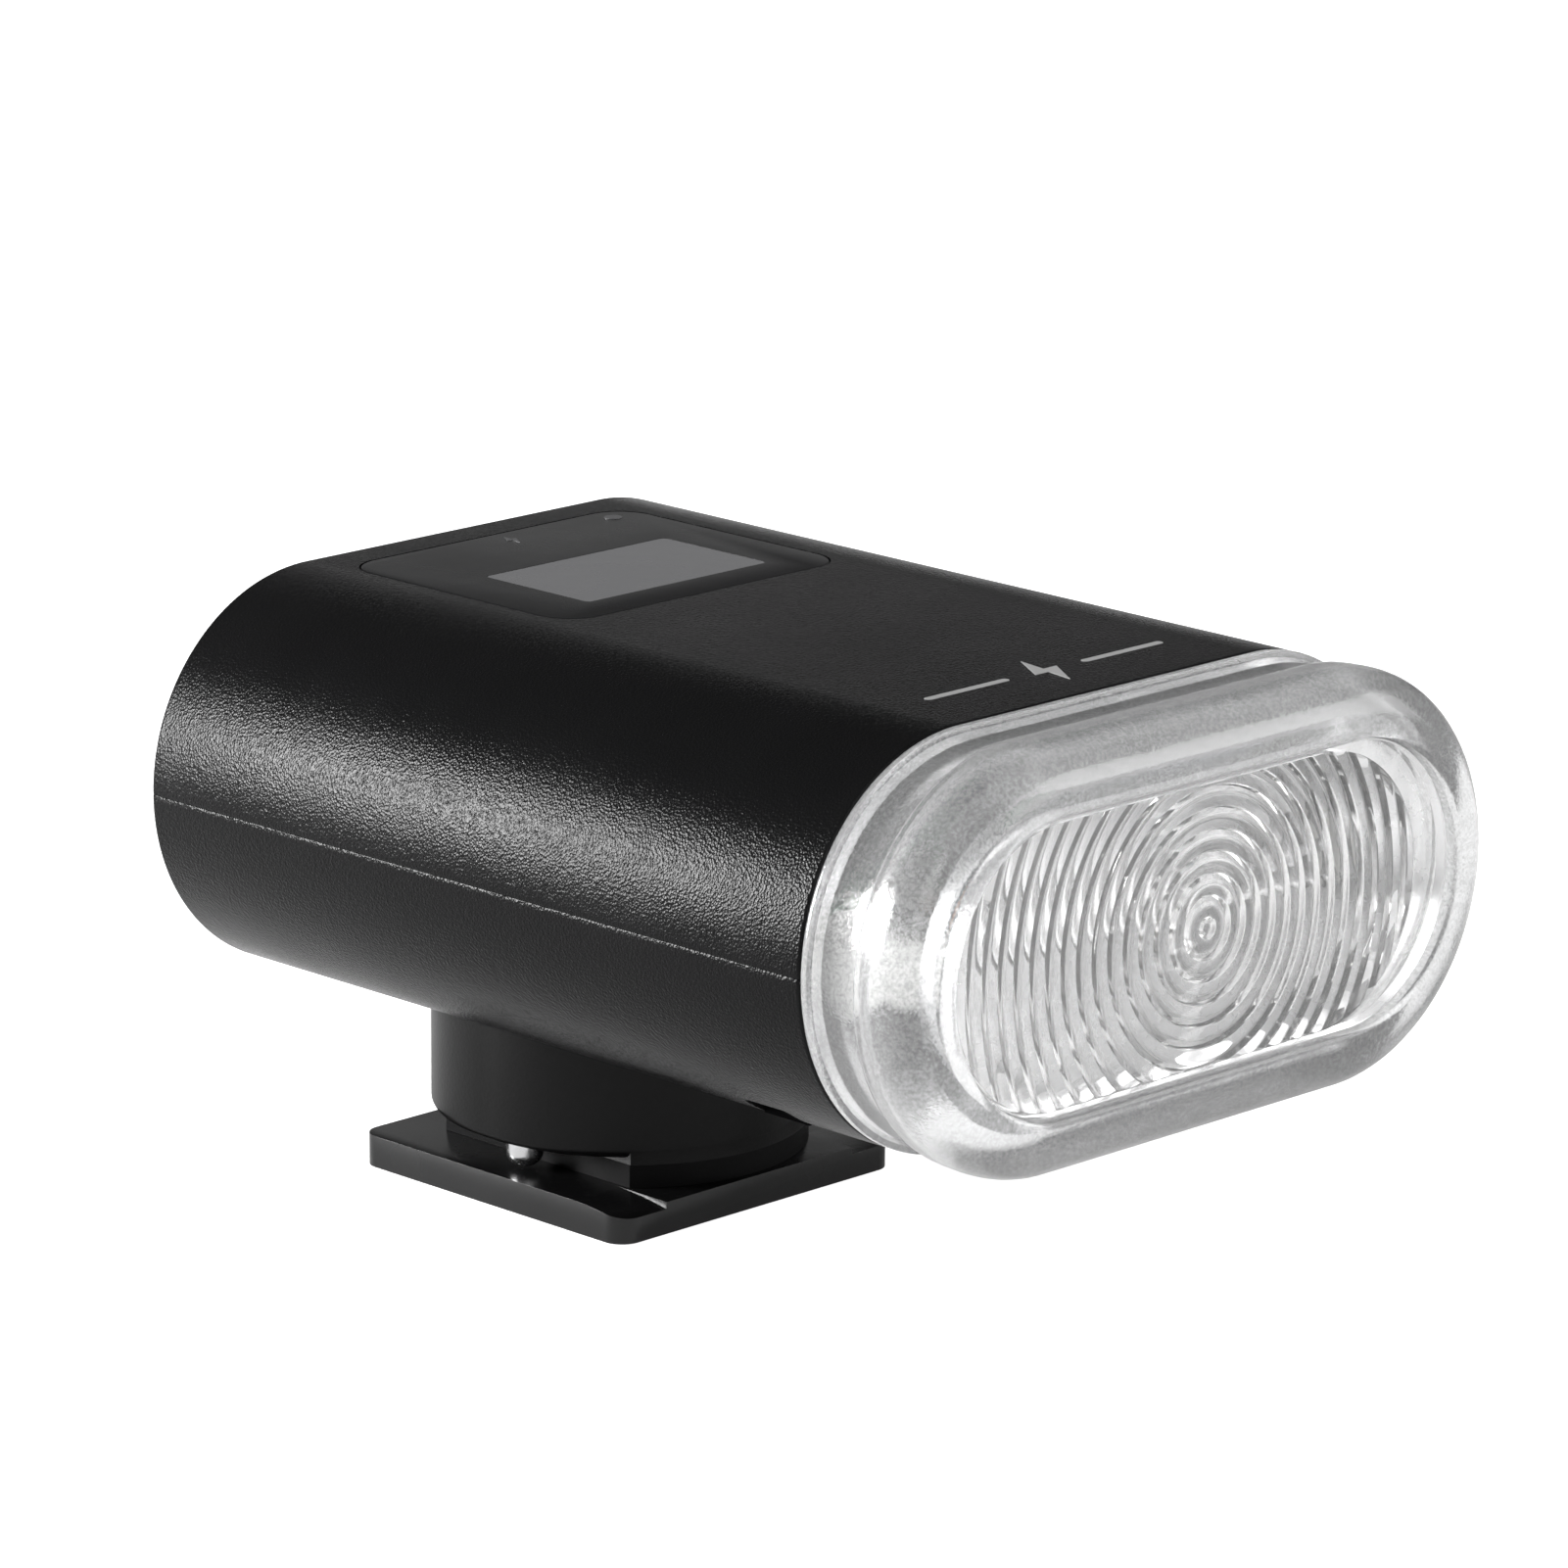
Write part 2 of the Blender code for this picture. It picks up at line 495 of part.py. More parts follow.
def build_foot():
    """The shoe foot and the four screws that hold it to the neck from below."""
    foot = prism("foot_plate", rounded_rectangle(*FOOT_SIZE, 0.8 * MM), 0, FOOT_TOP, "Z", look="foot")
    join(foot, prism("foot_web", web_outline(), FOOT_TOP - 0.2 * MM, NECK_BOTTOM - GAP, "Z"))
    taper = [(y * MM, z * MM) for y, z in LEAD_IN]
    for side in (-1, 1):
        low, high = sorted((side * 6.4 * MM, side * 9.6 * MM))
        cut(foot, prism("lead_in", taper, low, high, "X"))
    cut(foot, rod("bush_hole", 3.3 * MM, -0.001, 0.004, (0, 0), steps=24))
    for index, (x, y) in enumerate(foot_screw_spots(), 1):
        cut(foot, rod("foot_hole", 0.9 * MM, -0.001, 0.004, (x, y), steps=12))
        cut(foot, rod("foot_counterbore", 1.8 * MM, -0.001, 1.1 * MM, (x, y), steps=16))
        place = (x, y, 0.1 * MM)
        screw(f"foot_screw_{index}", place, (1.5 * MM, 0.7 * MM), 0.6 * MM, 5.5 * MM, up=False)


def build_contacts():
    """The sprung centre contact in its insulating bush, and the two ground pins under the neck."""
    bush = rod("contact_bush", 3.0 * MM, 0.15 * MM, 2.7 * MM, (0, 0), steps=24, look="chip")
    cut(bush, rod("bush_mouth", 1.35 * MM, -0.001, 0.004, (0, 0)))
    cut(bush, rod("bush_bore", 2.1 * MM, 0.5 * MM, 0.004, (0, 0)))
    contact = [(0, 3.6), (0.7, 3.6), (0.7, 2.0), (1.75, 2.0), (1.75, 1.3), (1.05, 1.3), (1.05, 0.1), (0.95, 0), (0, 0)]
    contact = [(radius * MM, height * MM) for radius, height in contact]
    turned("centre_contact", contact, (0, 0, 0), look="brass")
    coil("centre_spring", (0, 0), 2.3 * MM, 4.7 * MM, 1.25 * MM, 0.35 * MM, 3, "steel")
    pin = [(0, 4.2), (0.9, 4.2), (0.9, 2.45), (0.8, 2.07), (0.5, 1.79), (0, 1.7)]
    pin = [(radius * MM, height * MM) for radius, height in pin]
    for side, hand in ((-1, "left"), (1, "right")):
        turned(f"ground_pin_{hand}", pin, (side * PIN_X, PIN_Y, 0), look="steel")
        spot = (side * PIN_X, PIN_Y)
        coil(f"ground_spring_{hand}", spot, 4.5 * MM, 6.3 * MM, 0.65 * MM, 0.25 * MM, 3, "steel")


build_shells()
build_display()
build_board()
build_usb_socket()
build_rear_cover()
build_buttons()
build_head()
build_neck()
build_foot()
build_contacts()
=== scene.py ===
"""Finished look of the compact speedlight flash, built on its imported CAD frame."""
import json
import math

import bmesh
import bpy
from mathutils import Matrix, Vector


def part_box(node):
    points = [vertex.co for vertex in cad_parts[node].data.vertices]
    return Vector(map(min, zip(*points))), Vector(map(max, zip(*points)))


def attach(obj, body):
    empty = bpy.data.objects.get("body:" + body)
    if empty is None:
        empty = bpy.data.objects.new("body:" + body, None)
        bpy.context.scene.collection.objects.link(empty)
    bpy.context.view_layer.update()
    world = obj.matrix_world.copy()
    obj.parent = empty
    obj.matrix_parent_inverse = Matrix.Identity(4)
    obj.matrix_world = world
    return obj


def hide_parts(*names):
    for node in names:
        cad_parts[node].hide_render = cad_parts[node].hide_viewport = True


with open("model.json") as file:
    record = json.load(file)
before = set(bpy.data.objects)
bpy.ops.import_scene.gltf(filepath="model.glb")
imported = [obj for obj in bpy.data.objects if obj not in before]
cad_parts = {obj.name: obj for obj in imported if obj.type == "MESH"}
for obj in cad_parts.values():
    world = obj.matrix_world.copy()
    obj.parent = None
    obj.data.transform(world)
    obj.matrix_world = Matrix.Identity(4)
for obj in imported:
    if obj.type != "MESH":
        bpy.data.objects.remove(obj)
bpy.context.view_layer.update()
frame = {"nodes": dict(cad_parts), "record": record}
MM = 0.001
BODY = "flash_body"

UPPER_LOW, UPPER_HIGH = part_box("upper_shell")
LOWER_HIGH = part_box("lower_shell")[1]
WIDTH = UPPER_HIGH.x - UPPER_LOW.x
FRONT, REAR = UPPER_LOW.y, UPPER_HIGH.y
TOP = UPPER_HIGH.z
MID = (UPPER_LOW.z + LOWER_HIGH.z) / 2
HEIGHT = 2 * (TOP - MID)
ROUND = HEIGHT / 2
NECK_LOW, NECK_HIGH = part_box("neck_mount")
UNDERSIDE = NECK_HIGH.z + 0.3 * MM
WALL = 1.6 * MM


# ---------------------------------------------------------------- outlines


def stadium(width, height, steps=40):
    """An outline with two half-round ends, counter-clockwise from the lower right."""
    radius = height / 2
    reach = width / 2 - radius
    points = []
    for end in (1, -1):
        for step in range(2 * steps + 1):
            angle = math.pi / 2 * (step / steps - 1)
            points.append((end * (reach + radius * math.cos(angle)), end * radius * math.sin(angle)))
    return points


def section(offset):
    """The body's section, grown by an offset."""
    return stadium(WIDTH + 2 * offset, HEIGHT + 2 * offset)


def circle(radius, steps=48):
    """A round outline."""
    return [(radius * math.cos(a), radius * math.sin(a)) for a in turns(steps)]


def turns(steps):
    """Angles once round."""
    return [2 * math.pi * step / steps for step in range(steps)]


def quarter(steps):
    """Angles from 0 to a right angle."""
    return [math.pi / 2 * step / steps for step in range(steps + 1)]


def rounded_rectangle(width, height, corner, steps=12):
    """A rectangle round the origin with round corners."""
    points = []
    for index, (sx, sy) in enumerate(((1, 1), (-1, 1), (-1, -1), (1, -1))):
        for step in range(steps + 1):
            angle = math.pi / 2 * (index + step / steps)
            x = sx * (width / 2 - corner) + corner * math.cos(angle)
            points.append((x, sy * (height / 2 - corner) + corner * math.sin(angle)))
    return points


def ring_xz(outline, y, z=MID, x=0.0):
    """An outline stood across the flash."""
    return [Vector((x + u, y, z + v)) for u, v in outline]


def ring_xy(outline, z, x=0.0, y=0.0):
    """An outline laid flat."""
    return [Vector((x + u, y + v, z)) for u, v in outline]


# ---------------------------------------------------------------- meshes


def loft(rings, closed=False, caps=True):
    """A bmesh skin through rings of points. `closed` joins the last ring to the first."""
    bm = bmesh.new()
    rows = [[bm.verts.new(point) for point in ring] for ring in rings]
    pairs = list(zip(rows, rows[1:]))
    if closed:
        pairs.append((rows[-1], rows[0]))
    for first, second in pairs:
        for i in range(len(first)):
            j = (i + 1) % len(first)
            bm.faces.new((first[i], first[j], second[j], second[i]))
    if caps and not closed:
        bm.faces.new(rows[0])
        bm.faces.new(rows[-1])
    bmesh.ops.recalc_face_normals(bm, faces=bm.faces)
    return bm


AXIS_TURN = {
    "Z": Matrix(),
    "Y": Matrix.Rotation(-math.pi / 2, 4, "X"),
    "X": Matrix.Rotation(math.pi / 2, 4, "Y"),
}


def lathe(profile, centre=(0, 0, 0), axis="Z", steps=96):
    """A turned skin from (radius, height) pairs; a pair at radius 0 becomes a pole."""
    bm = bmesh.new()
    rows = []
    for radius, height in profile:
        if radius < 1e-9:
            rows.append([bm.verts.new((0, 0, height))])
        else:
            rows.append([bm.verts.new((u, v, height)) for u, v in circle(radius, steps)])
    for first, second in zip(rows, rows[1:]):
        for i in range(steps):
            j = (i + 1) % steps
            quad = [first[i % len(first)], first[j % len(first)]]
            quad += [second[j % len(second)], second[i % len(second)]]
            bm.faces.new(list(dict.fromkeys(quad)))
    bm.transform(Matrix.Translation(centre) @ AXIS_TURN[axis])
    bmesh.ops.recalc_face_normals(bm, faces=bm.faces)
    return bm


def raw_object(name, bm):
    """An object made from a bmesh, which is freed."""
    mesh = bpy.data.meshes.new(name)
    bm.to_mesh(mesh)
    bm.free()
    made = bpy.data.objects.new(name, mesh)
    bpy.context.scene.collection.objects.link(made)
    return made


def apply_modifiers(obj):
    """Turns an object's modifiers into mesh."""
    bpy.context.view_layer.update()
    graph = bpy.context.evaluated_depsgraph_get()
    mesh = bpy.data.meshes.new_from_object(obj.evaluated_get(graph))
    obj.modifiers.clear()
    obj.data = mesh


def combined(obj, others, operation="DIFFERENCE"):
    """Cuts, joins or keeps a piece with others, which are then removed."""
    for other in others:
        modifier = obj.modifiers.new("combine", "BOOLEAN")
        modifier.operation = operation
        modifier.solver = "EXACT"
        modifier.object = other
    apply_modifiers(obj)
    for other in others:
        bpy.data.objects.remove(other)


def soften(obj, width, angle):
    """Rounds the edges sharper than an angle."""
    modifier = obj.modifiers.new("edges", "BEVEL")
    modifier.width = width
    modifier.segments = 3
    modifier.limit_method = "ANGLE"
    modifier.angle_limit = math.radians(angle)
    apply_modifiers(obj)


def smooth(obj, angle=32):
    """Smooth shading, with the edges above an angle left sharp."""
    bm = bmesh.new()
    bm.from_mesh(obj.data)
    for face in bm.faces:
        face.smooth = True
    for edge in bm.edges:
        edge.smooth = edge.calc_face_angle(0.0) < math.radians(angle)
    bm.to_mesh(obj.data)
    bm.free()


def prism(name, outline, low, high, axis="Y", at=(0, 0), soft=0.0):
    """An outline extruded along an axis. `at` is its centre in the other two, in the order of
    their names, and `soft` rounds the far end's edge."""
    pull = []
    sign = 1 if high > low else -1
    if soft:
        middle = Vector((sum(u for u, _ in outline), sum(v for _, v in outline))) / len(outline)
        reach = max((Vector(point) - middle).length for point in outline)
        for angle in quarter(5)[1:]:
            shrink = 1 - soft * (1 - math.cos(angle)) / reach
            pull.append((high - sign * soft * (1 - math.sin(angle)), shrink, middle))
    centre = Vector((0, 0))
    stations = [(low, 1.0, centre), (high - sign * soft, 1.0, centre)] + pull
    order = {"X": (2, 0, 1), "Y": (0, 2, 1), "Z": (0, 1, 2)}[axis]
    rings = []
    for along, scale, middle in stations:
        ring = []
        for u, v in outline:
            spot = (at[0] + middle.x + (u - middle.x) * scale,
                    at[1] + middle.y + (v - middle.y) * scale, along)
            ring.append(Vector([spot[index] for index in order]))
        rings.append(ring)
    return raw_object(name, loft(rings))


def rod(name, radius, low, high, axis, at):
    """A round bar."""
    return prism(name, circle(radius), low, high, axis, at)


def piece(obj, material, replaced=(), body=BODY, angle=32):
    """Finishes a piece: shading, material, the body it rides on and the CAD nodes it stands for."""
    smooth(obj, angle)
    obj.data.materials.clear()
    obj.data.materials.append(material)
    if replaced:
        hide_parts(*replaced)
    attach(obj, body)
    return obj


# ---------------------------------------------------------------- materials


def nodes_of(name):
    """A new material, its node tree and its shader."""
    made = bpy.data.materials.new(name)
    made.use_nodes = True
    tree = made.node_tree
    return made, tree, tree.nodes["Principled BSDF"]


def texture(tree, kind, scale, detail=2.0, rough=0.5):
    """A procedural texture in object coordinates."""
    place = tree.nodes.new("ShaderNodeTexCoord")
    made = tree.nodes.new(kind)
    made.inputs["Scale"].default_value = scale
    made.inputs["Detail"].default_value = detail
    made.inputs["Roughness"].default_value = rough
    tree.links.new(place.outputs["Object"], made.inputs["Vector"])
    return made


def remap(tree, source, low, high, start=0.3, end=0.7):
    """Maps a value between two levels."""
    made = tree.nodes.new("ShaderNodeMapRange")
    for name, value in (("From Min", start), ("From Max", end), ("To Min", low), ("To Max", high)):
        made.inputs[name].default_value = value
    tree.links.new(source, made.inputs["Value"])
    return made.outputs["Result"]


def tint(tree, factor, first, second):
    """Mixes two colours."""
    made = tree.nodes.new("ShaderNodeMix")
    made.data_type = "RGBA"
    made.inputs["A"].default_value = (*first, 1)
    made.inputs["B"].default_value = (*second, 1)
    tree.links.new(factor, made.inputs["Factor"])
    return made.outputs["Result"]


def weighted(tree, first, second, weight):
    """First plus a multiple of second."""
    made = tree.nodes.new("ShaderNodeMath")
    made.operation = "MULTIPLY_ADD"
    made.inputs[1].default_value = weight
    tree.links.new(second, made.inputs[0])
    tree.links.new(first, made.inputs[2])
    return made.outputs[0]


def bump(tree, shader, height, distance):
    """Raises a surface by a height that a texture gives."""
    made = tree.nodes.new("ShaderNodeBump")
    made.inputs["Distance"].default_value = distance
    tree.links.new(height, made.inputs["Height"])
    tree.links.new(made.outputs["Normal"], shader.inputs["Normal"])


def moulded(name, dark, light, rough, grain, depth, specular=0.5):
    """Moulded or painted surface: a pebble grain, and slow changes in tone and gloss."""
    made, tree, shader = nodes_of(name)
    slow = texture(tree, "ShaderNodeTexNoise", 140, 3)
    fine = texture(tree, "ShaderNodeTexNoise", 1 / grain, 1.0, 0.5)
    pebble = texture(tree, "ShaderNodeTexVoronoi", 1 / grain, 0.0)
    tree.links.new(tint(tree, slow.outputs["Fac"], dark, light), shader.inputs["Base Color"])
    tree.links.new(remap(tree, slow.outputs["Fac"], *rough), shader.inputs["Roughness"])
    bump(tree, shader, weighted(tree, fine.outputs["Fac"], pebble.outputs["Distance"], 1.2), depth)
    shader.inputs["Specular IOR Level"].default_value = specular
    return made


def metal(name, colour, rough, scratch=2500, depth=0.002 * MM):
    """Bright metal with fine uneven marks."""
    made, tree, shader = nodes_of(name)
    marks = texture(tree, "ShaderNodeTexNoise", scratch, 3, 0.6)
    darker = tuple(value * 0.85 for value in colour)
    tree.links.new(tint(tree, marks.outputs["Fac"], darker, colour), shader.inputs["Base Color"])
    tree.links.new(remap(tree, marks.outputs["Fac"], *rough), shader.inputs["Roughness"])
    shader.inputs["Metallic"].default_value = 1.0
    bump(tree, shader, marks.outputs["Fac"], depth)
    return made


def clear(name, colour, rough, speck, depth, waves=6.0, ior=1.5, milky=0.0, mottle=0.0):
    """Clear moulded plastic or glass. Lamps shine through it, and fine specks frost it a little."""
    made, tree, shader = nodes_of(name)
    flecks = texture(tree, "ShaderNodeTexNoise", speck, 2, 0.6)
    slow = texture(tree, "ShaderNodeTexNoise", 220, 2)
    shader.inputs["Base Color"].default_value = (*colour, 1)
    if mottle:
        dark = [level * (1 - mottle) for level in colour]
        shade = remap(tree, flecks.outputs["Fac"], 0.0, 1.0, 0.42, 0.58)
        tree.links.new(tint(tree, shade, dark, colour), shader.inputs["Base Color"])
    shader.inputs["Transmission Weight"].default_value = 1.0 - milky
    shader.inputs["IOR"].default_value = ior
    tree.links.new(remap(tree, flecks.outputs["Fac"], *rough, 0.4, 0.7), shader.inputs["Roughness"])
    if depth:
        bump(tree, shader, weighted(tree, flecks.outputs["Fac"], slow.outputs["Fac"], waves), depth)
    path = tree.nodes.new("ShaderNodeLightPath")
    open_way = tree.nodes.new("ShaderNodeBsdfTransparent")
    mixed = tree.nodes.new("ShaderNodeMixShader")
    tree.links.new(path.outputs["Is Shadow Ray"], mixed.inputs["Fac"])
    tree.links.new(shader.outputs["BSDF"], mixed.inputs[1])
    tree.links.new(open_way.outputs["BSDF"], mixed.inputs[2])
    tree.links.new(mixed.outputs["Shader"], tree.nodes["Material Output"].inputs["Surface"])
    return made


def grey(level, blue=1.04):
    """A grey, a little blue unless it is told otherwise."""
    return (level, level, level * blue)


BLACK = moulded("textured_black_plastic", grey(0.0035), grey(0.0055), (0.18, 0.25), 0.13 * MM, 0.015 * MM,
                0.08)
# The neck's black paint, set darker than the body's plastic: partly its own colour, partly painted shade for
# the shadow under the body.
NECK_BLACK_AND_SHADE = moulded("neck_black_paint_and_shade", grey(0.002), grey(0.003), (0.30, 0.36), 0.2 * MM, 0.003 * MM, 0.13)
FOOT_BLACK = moulded("foot_black_paint", grey(0.003), grey(0.005), (0.22, 0.30), 0.3 * MM, 0.002 * MM, 0.4)
# Painted shade: a blacker, unglossy finish for the thin sheets at the back of the side slots, so they read as
# deep shadow.
SLOT_SHADE = moulded("slot_painted_shade", grey(0.0015), grey(0.002), (0.7, 0.8), 0.3 * MM, 0.004 * MM, 0.0)
WEB_BLACK = moulded("web_black_paint", grey(0.003), grey(0.005), (0.5, 0.6), 0.3 * MM, 0.003 * MM, 0.05)
BUTTON_BLACK = moulded("button_black_rubber", grey(0.014), grey(0.02), (0.42, 0.52), 0.2 * MM, 0.008 * MM,
                       0.4)
PANEL_GLOSS = moulded("smoked_panel", grey(0.009), grey(0.012), (0.24, 0.30), 2 * MM, 0.004 * MM, 0.13)
DISPLAY = moulded("display_glass", grey(0.11), grey(0.126), (0.2, 0.26), 1.5 * MM, 0.003 * MM)
PRINT = moulded("pale_print", grey(0.30, 1.0), grey(0.36, 1.0), (0.5, 0.6), 0.1 * MM, 0.003 * MM)
DIM_PRINT = moulded("dim_print", grey(0.07), grey(0.09), (0.4, 0.5), 0.1 * MM, 0.003 * MM)
CLEAR = clear("clear_polycarbonate", (0.95, 0.953, 0.957), (0.05, 0.26), 6500, 0.009 * MM, 9.0, milky=0.12,
              mottle=0.3)
LENS = clear("lens_polycarbonate", (0.96, 0.96, 0.96), (0.0, 0.04), 4000, 0.0004 * MM, 2.0, milky=0.06)
TUBE = clear("tube_glass", (0.98, 0.98, 0.98), (0.0, 0.03), 3000, 0.0, ior=1.46)
MIRROR = metal("reflector_mirror", (0.96, 0.96, 0.965), (0.2, 0.36), 900, 0.012 * MM)
STEEL = metal("bright_steel", (0.72, 0.72, 0.73), (0.16, 0.3))
DARK_STEEL = metal("blackened_steel", (0.16, 0.16, 0.165), (0.25, 0.4))
BRASS = metal("contact_brass", (0.83, 0.66, 0.36), (0.2, 0.35))
COPPER = metal("winding_copper", (0.70, 0.34, 0.17), (0.25, 0.45))
FOIL = metal("battery_foil", (0.6, 0.61, 0.63), (0.3, 0.5), 700, 0.02 * MM)
BOARD = moulded("circuit_board", (0.01, 0.10, 0.035), (0.02, 0.16, 0.06), (0.3, 0.5), 0.4 * MM, 0.01 * MM)
CHIP = moulded("component_black", grey(0.012), grey(0.03), (0.5, 0.65), 0.15 * MM, 0.008 * MM)
SLEEVE = moulded("capacitor_sleeve", (0.02, 0.024, 0.05), (0.03, 0.035, 0.07), (0.25, 0.35), 0.5 * MM,
                 0.006 * MM)
SILICONE = moulded("white_silicone", (0.68, 0.68, 0.66), (0.8, 0.8, 0.78), (0.5, 0.65), 0.3 * MM, 0.01 * MM)
LAMP = moulded("indicator_lamp", (0.6, 0.7, 0.55), (0.75, 0.85, 0.7), (0.25, 0.35), 0.3 * MM, 0.004 * MM)


# ---------------------------------------------------------------- body shells


def half_outline(sign, inset, split):
    """Outer and inner points of the body's upper (sign 1) or lower (sign -1) half, right to left.
    The outer one ends in a small shallow chamfer at the parting line."""
    chamfer, lip = 0.028 * MM, 0.075 * MM
    steps = 80
    reach = WIDTH / 2 - ROUND
    outer, inner = [], []
    for points, depth, start in ((outer, inset, split + lip), (inner, WALL, split)):
        radius = ROUND - depth
        first = math.asin(start / radius)
        for end in (1, -1):
            for step in range(steps + 1):
                blend = step / steps
                angle = first + (math.pi / 2 - first) * (blend if end == 1 else 1 - blend)
                points.append((end * (reach + radius * math.cos(angle)), sign * radius * math.sin(angle)))
    for end, place in ((1, 0), (-1, len(outer) + 1)):
        outer.insert(place, (end * (reach + ROUND - inset - chamfer), sign * split))
        inner.insert(place, (end * (reach + ROUND - WALL), sign * split))
    return outer, inner


def half_shell(name, sign):
    """Half of the body tube as one closed skin, its front and rear edges rounded."""
    split = 0.012 * MM
    front, rear = 0.22 * MM, 0.3 * MM
    edge = quarter(6)
    stations = [(FRONT + front * (1 - math.sin(a)), front * (1 - math.cos(a))) for a in reversed(edge)]
    stations += [(REAR - rear + rear * math.sin(a), rear * (1 - math.cos(a))) for a in edge]
    rings = []
    for y, inset in stations:
        outer, inner = half_outline(sign, inset, split)
        rings.append([Vector((x, y, MID + z)) for x, z in outer + inner[::-1]])
    bm = loft(rings, caps=False)
    bm.verts.ensure_lookup_table()
    count = len(rings[0])
    for start in (0, (len(rings) - 1) * count):
        for i in range(count // 2 - 1):
            quad = (start + i, start + i + 1, start + count - 2 - i, start + count - 1 - i)
            bm.faces.new([bm.verts[index] for index in quad])
    bmesh.ops.remove_doubles(bm, verts=bm.verts, dist=0.0001 * MM)
    bmesh.ops.recalc_face_normals(bm, faces=bm.faces)
    return raw_object(name, bm)


PANEL_LOW, PANEL_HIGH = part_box("top_panel")
PANEL_SPOT = ((PANEL_LOW.x + PANEL_HIGH.x) / 2, (PANEL_LOW.y + PANEL_HIGH.y) / 2)
PANEL_SIZE = PANEL_HIGH - PANEL_LOW
PANEL_CORNER = 2.0 * MM
SLOT_LOW, SLOT_HIGH = (-26.5 * MM, 9.0 * MM), (-23.6 * MM, 12.0 * MM)
SLOT_INNER = 13.9 * MM


def slot_outline(inset):
    """The side slot from beside, as (y, z): its two upper corners round."""
    soft, steps = 0.3 * MM, 6
    (front, low), (rear, high) = SLOT_LOW, SLOT_HIGH
    front, rear, high = front + inset, rear - inset, high - inset
    points = [(front, low), (rear, low)]
    for start, y in ((0, rear - soft), (1, front + soft)):
        for step in range(steps + 1):
            turn = math.pi / 2 * (start + step / steps)
            points.append((y + soft * math.cos(turn), high - soft + soft * math.sin(turn)))
    return points


def build_shells():
    """The upper shell with the panel's pocket; the lower with its flat and side slots, backed by painted
    shade.
    """
    upper = half_shell("upper_shell_skin", 1)
    clearance = 0.05 * MM
    outline = rounded_rectangle(PANEL_SIZE.x + 2 * clearance, PANEL_SIZE.y + 2 * clearance,
                                PANEL_CORNER + clearance)
    combined(upper, [prism("pocket", outline, PANEL_LOW.z - 0.1 * MM, TOP + MM, "Z", PANEL_SPOT)])
    piece(upper, BLACK, ["upper_shell"])

    lower = half_shell("lower_shell_skin", -1)
    cutters = []
    start, end = NECK_LOW.y - 0.1 * MM, REAR + 2 * MM
    flat = rounded_rectangle(2 * WIDTH, end - start, 0.2 * MM)
    spot = (0, (start + end) / 2)
    cutters.append(prism("flat", flat, UNDERSIDE - 3 * MM, UNDERSIDE, "Z", spot))
    for side, hand in ((-1, "left"), (1, "right")):
        cutters.append(prism("slot", slot_outline(0), *sorted((side * SLOT_INNER, side * WIDTH)), "X"))
        # A near-black matte sheet at the back of each slot: painted shade standing in for the slot's dark
        # depth.
        deep = sorted((side * (SLOT_INNER + 0.02 * MM), side * (SLOT_INNER + 0.2 * MM)))
        shade_sheet = prism(f"slot_painted_shade_{hand}", slot_outline(0.02 * MM), *deep, "X")
        block = rounded_rectangle(WIDTH * 2, WIDTH * 2, MM)
        combined(shade_sheet, [prism("below", block, 8 * MM, UNDERSIDE + 0.05 * MM, "Z")])
        piece(shade_sheet, SLOT_SHADE)
    combined(lower, cutters)
    piece(lower, BLACK, ["lower_shell"])


def build_panel():
    """The smoked panel, and the display's window let into it."""
    outline = rounded_rectangle(PANEL_SIZE.x, PANEL_SIZE.y, PANEL_CORNER)
    panel = prism("top_panel_skin", outline, PANEL_LOW.z, PANEL_HIGH.z, "Z", PANEL_SPOT, 0.12 * MM)
    spot = (0.25 * MM, 0.4 * MM)
    window = rounded_rectangle(12.0 * MM, 7.2 * MM, 0.3 * MM)
    combined(panel, [prism("window", window, TOP - 0.2 * MM, TOP + MM, "Z", spot)])
    piece(panel, PANEL_GLOSS, ["top_panel"])
    glass = rounded_rectangle(11.96 * MM, 7.16 * MM, 0.28 * MM)
    display = prism("display_window", glass, TOP - 0.19 * MM, PANEL_HIGH.z - 0.01 * MM, "Z", spot)
    piece(display, DISPLAY)


# ---------------------------------------------------------------- printed marks


def bolt(size):
    """A generic lightning bolt."""
    shape = [(0.10, 0.50), (-0.26, -0.06), (-0.03, -0.06), (-0.10, -0.50), (0.26, 0.08), (0.03, 0.08)]
    return [(u * size, v * size) for u, v in shape]


def cross(size, arm):
    """A plus sign."""
    half, thin = size / 2, arm / 2
    corner = [(half, thin), (thin, thin), (thin, half)]
    points = []
    for quarter in range(4):
        for u, v in corner:
            for _ in range(quarter):
                u, v = -v, u
            points.append((u, v))
    return points


def arc_band(radius, width, start, end):
    """Part of a ring, from one angle to another."""
    steps = 28
    angles = [math.radians(start + (end - start) * step / steps) for step in range(steps + 1)]
    outer, inner = radius + width / 2, radius - width / 2
    points = [(outer * math.cos(a), outer * math.sin(a)) for a in angles]
    return points + [(inner * math.cos(a), inner * math.sin(a)) for a in reversed(angles)]


def mark(name, outline, axis, face, at, material, body=BODY, raised=0.02 * MM):
    """A thin printed mark on a face."""
    made = prism(name, outline, face - 0.02 * MM, face + raised, axis, at)
    return piece(made, material, body=body)


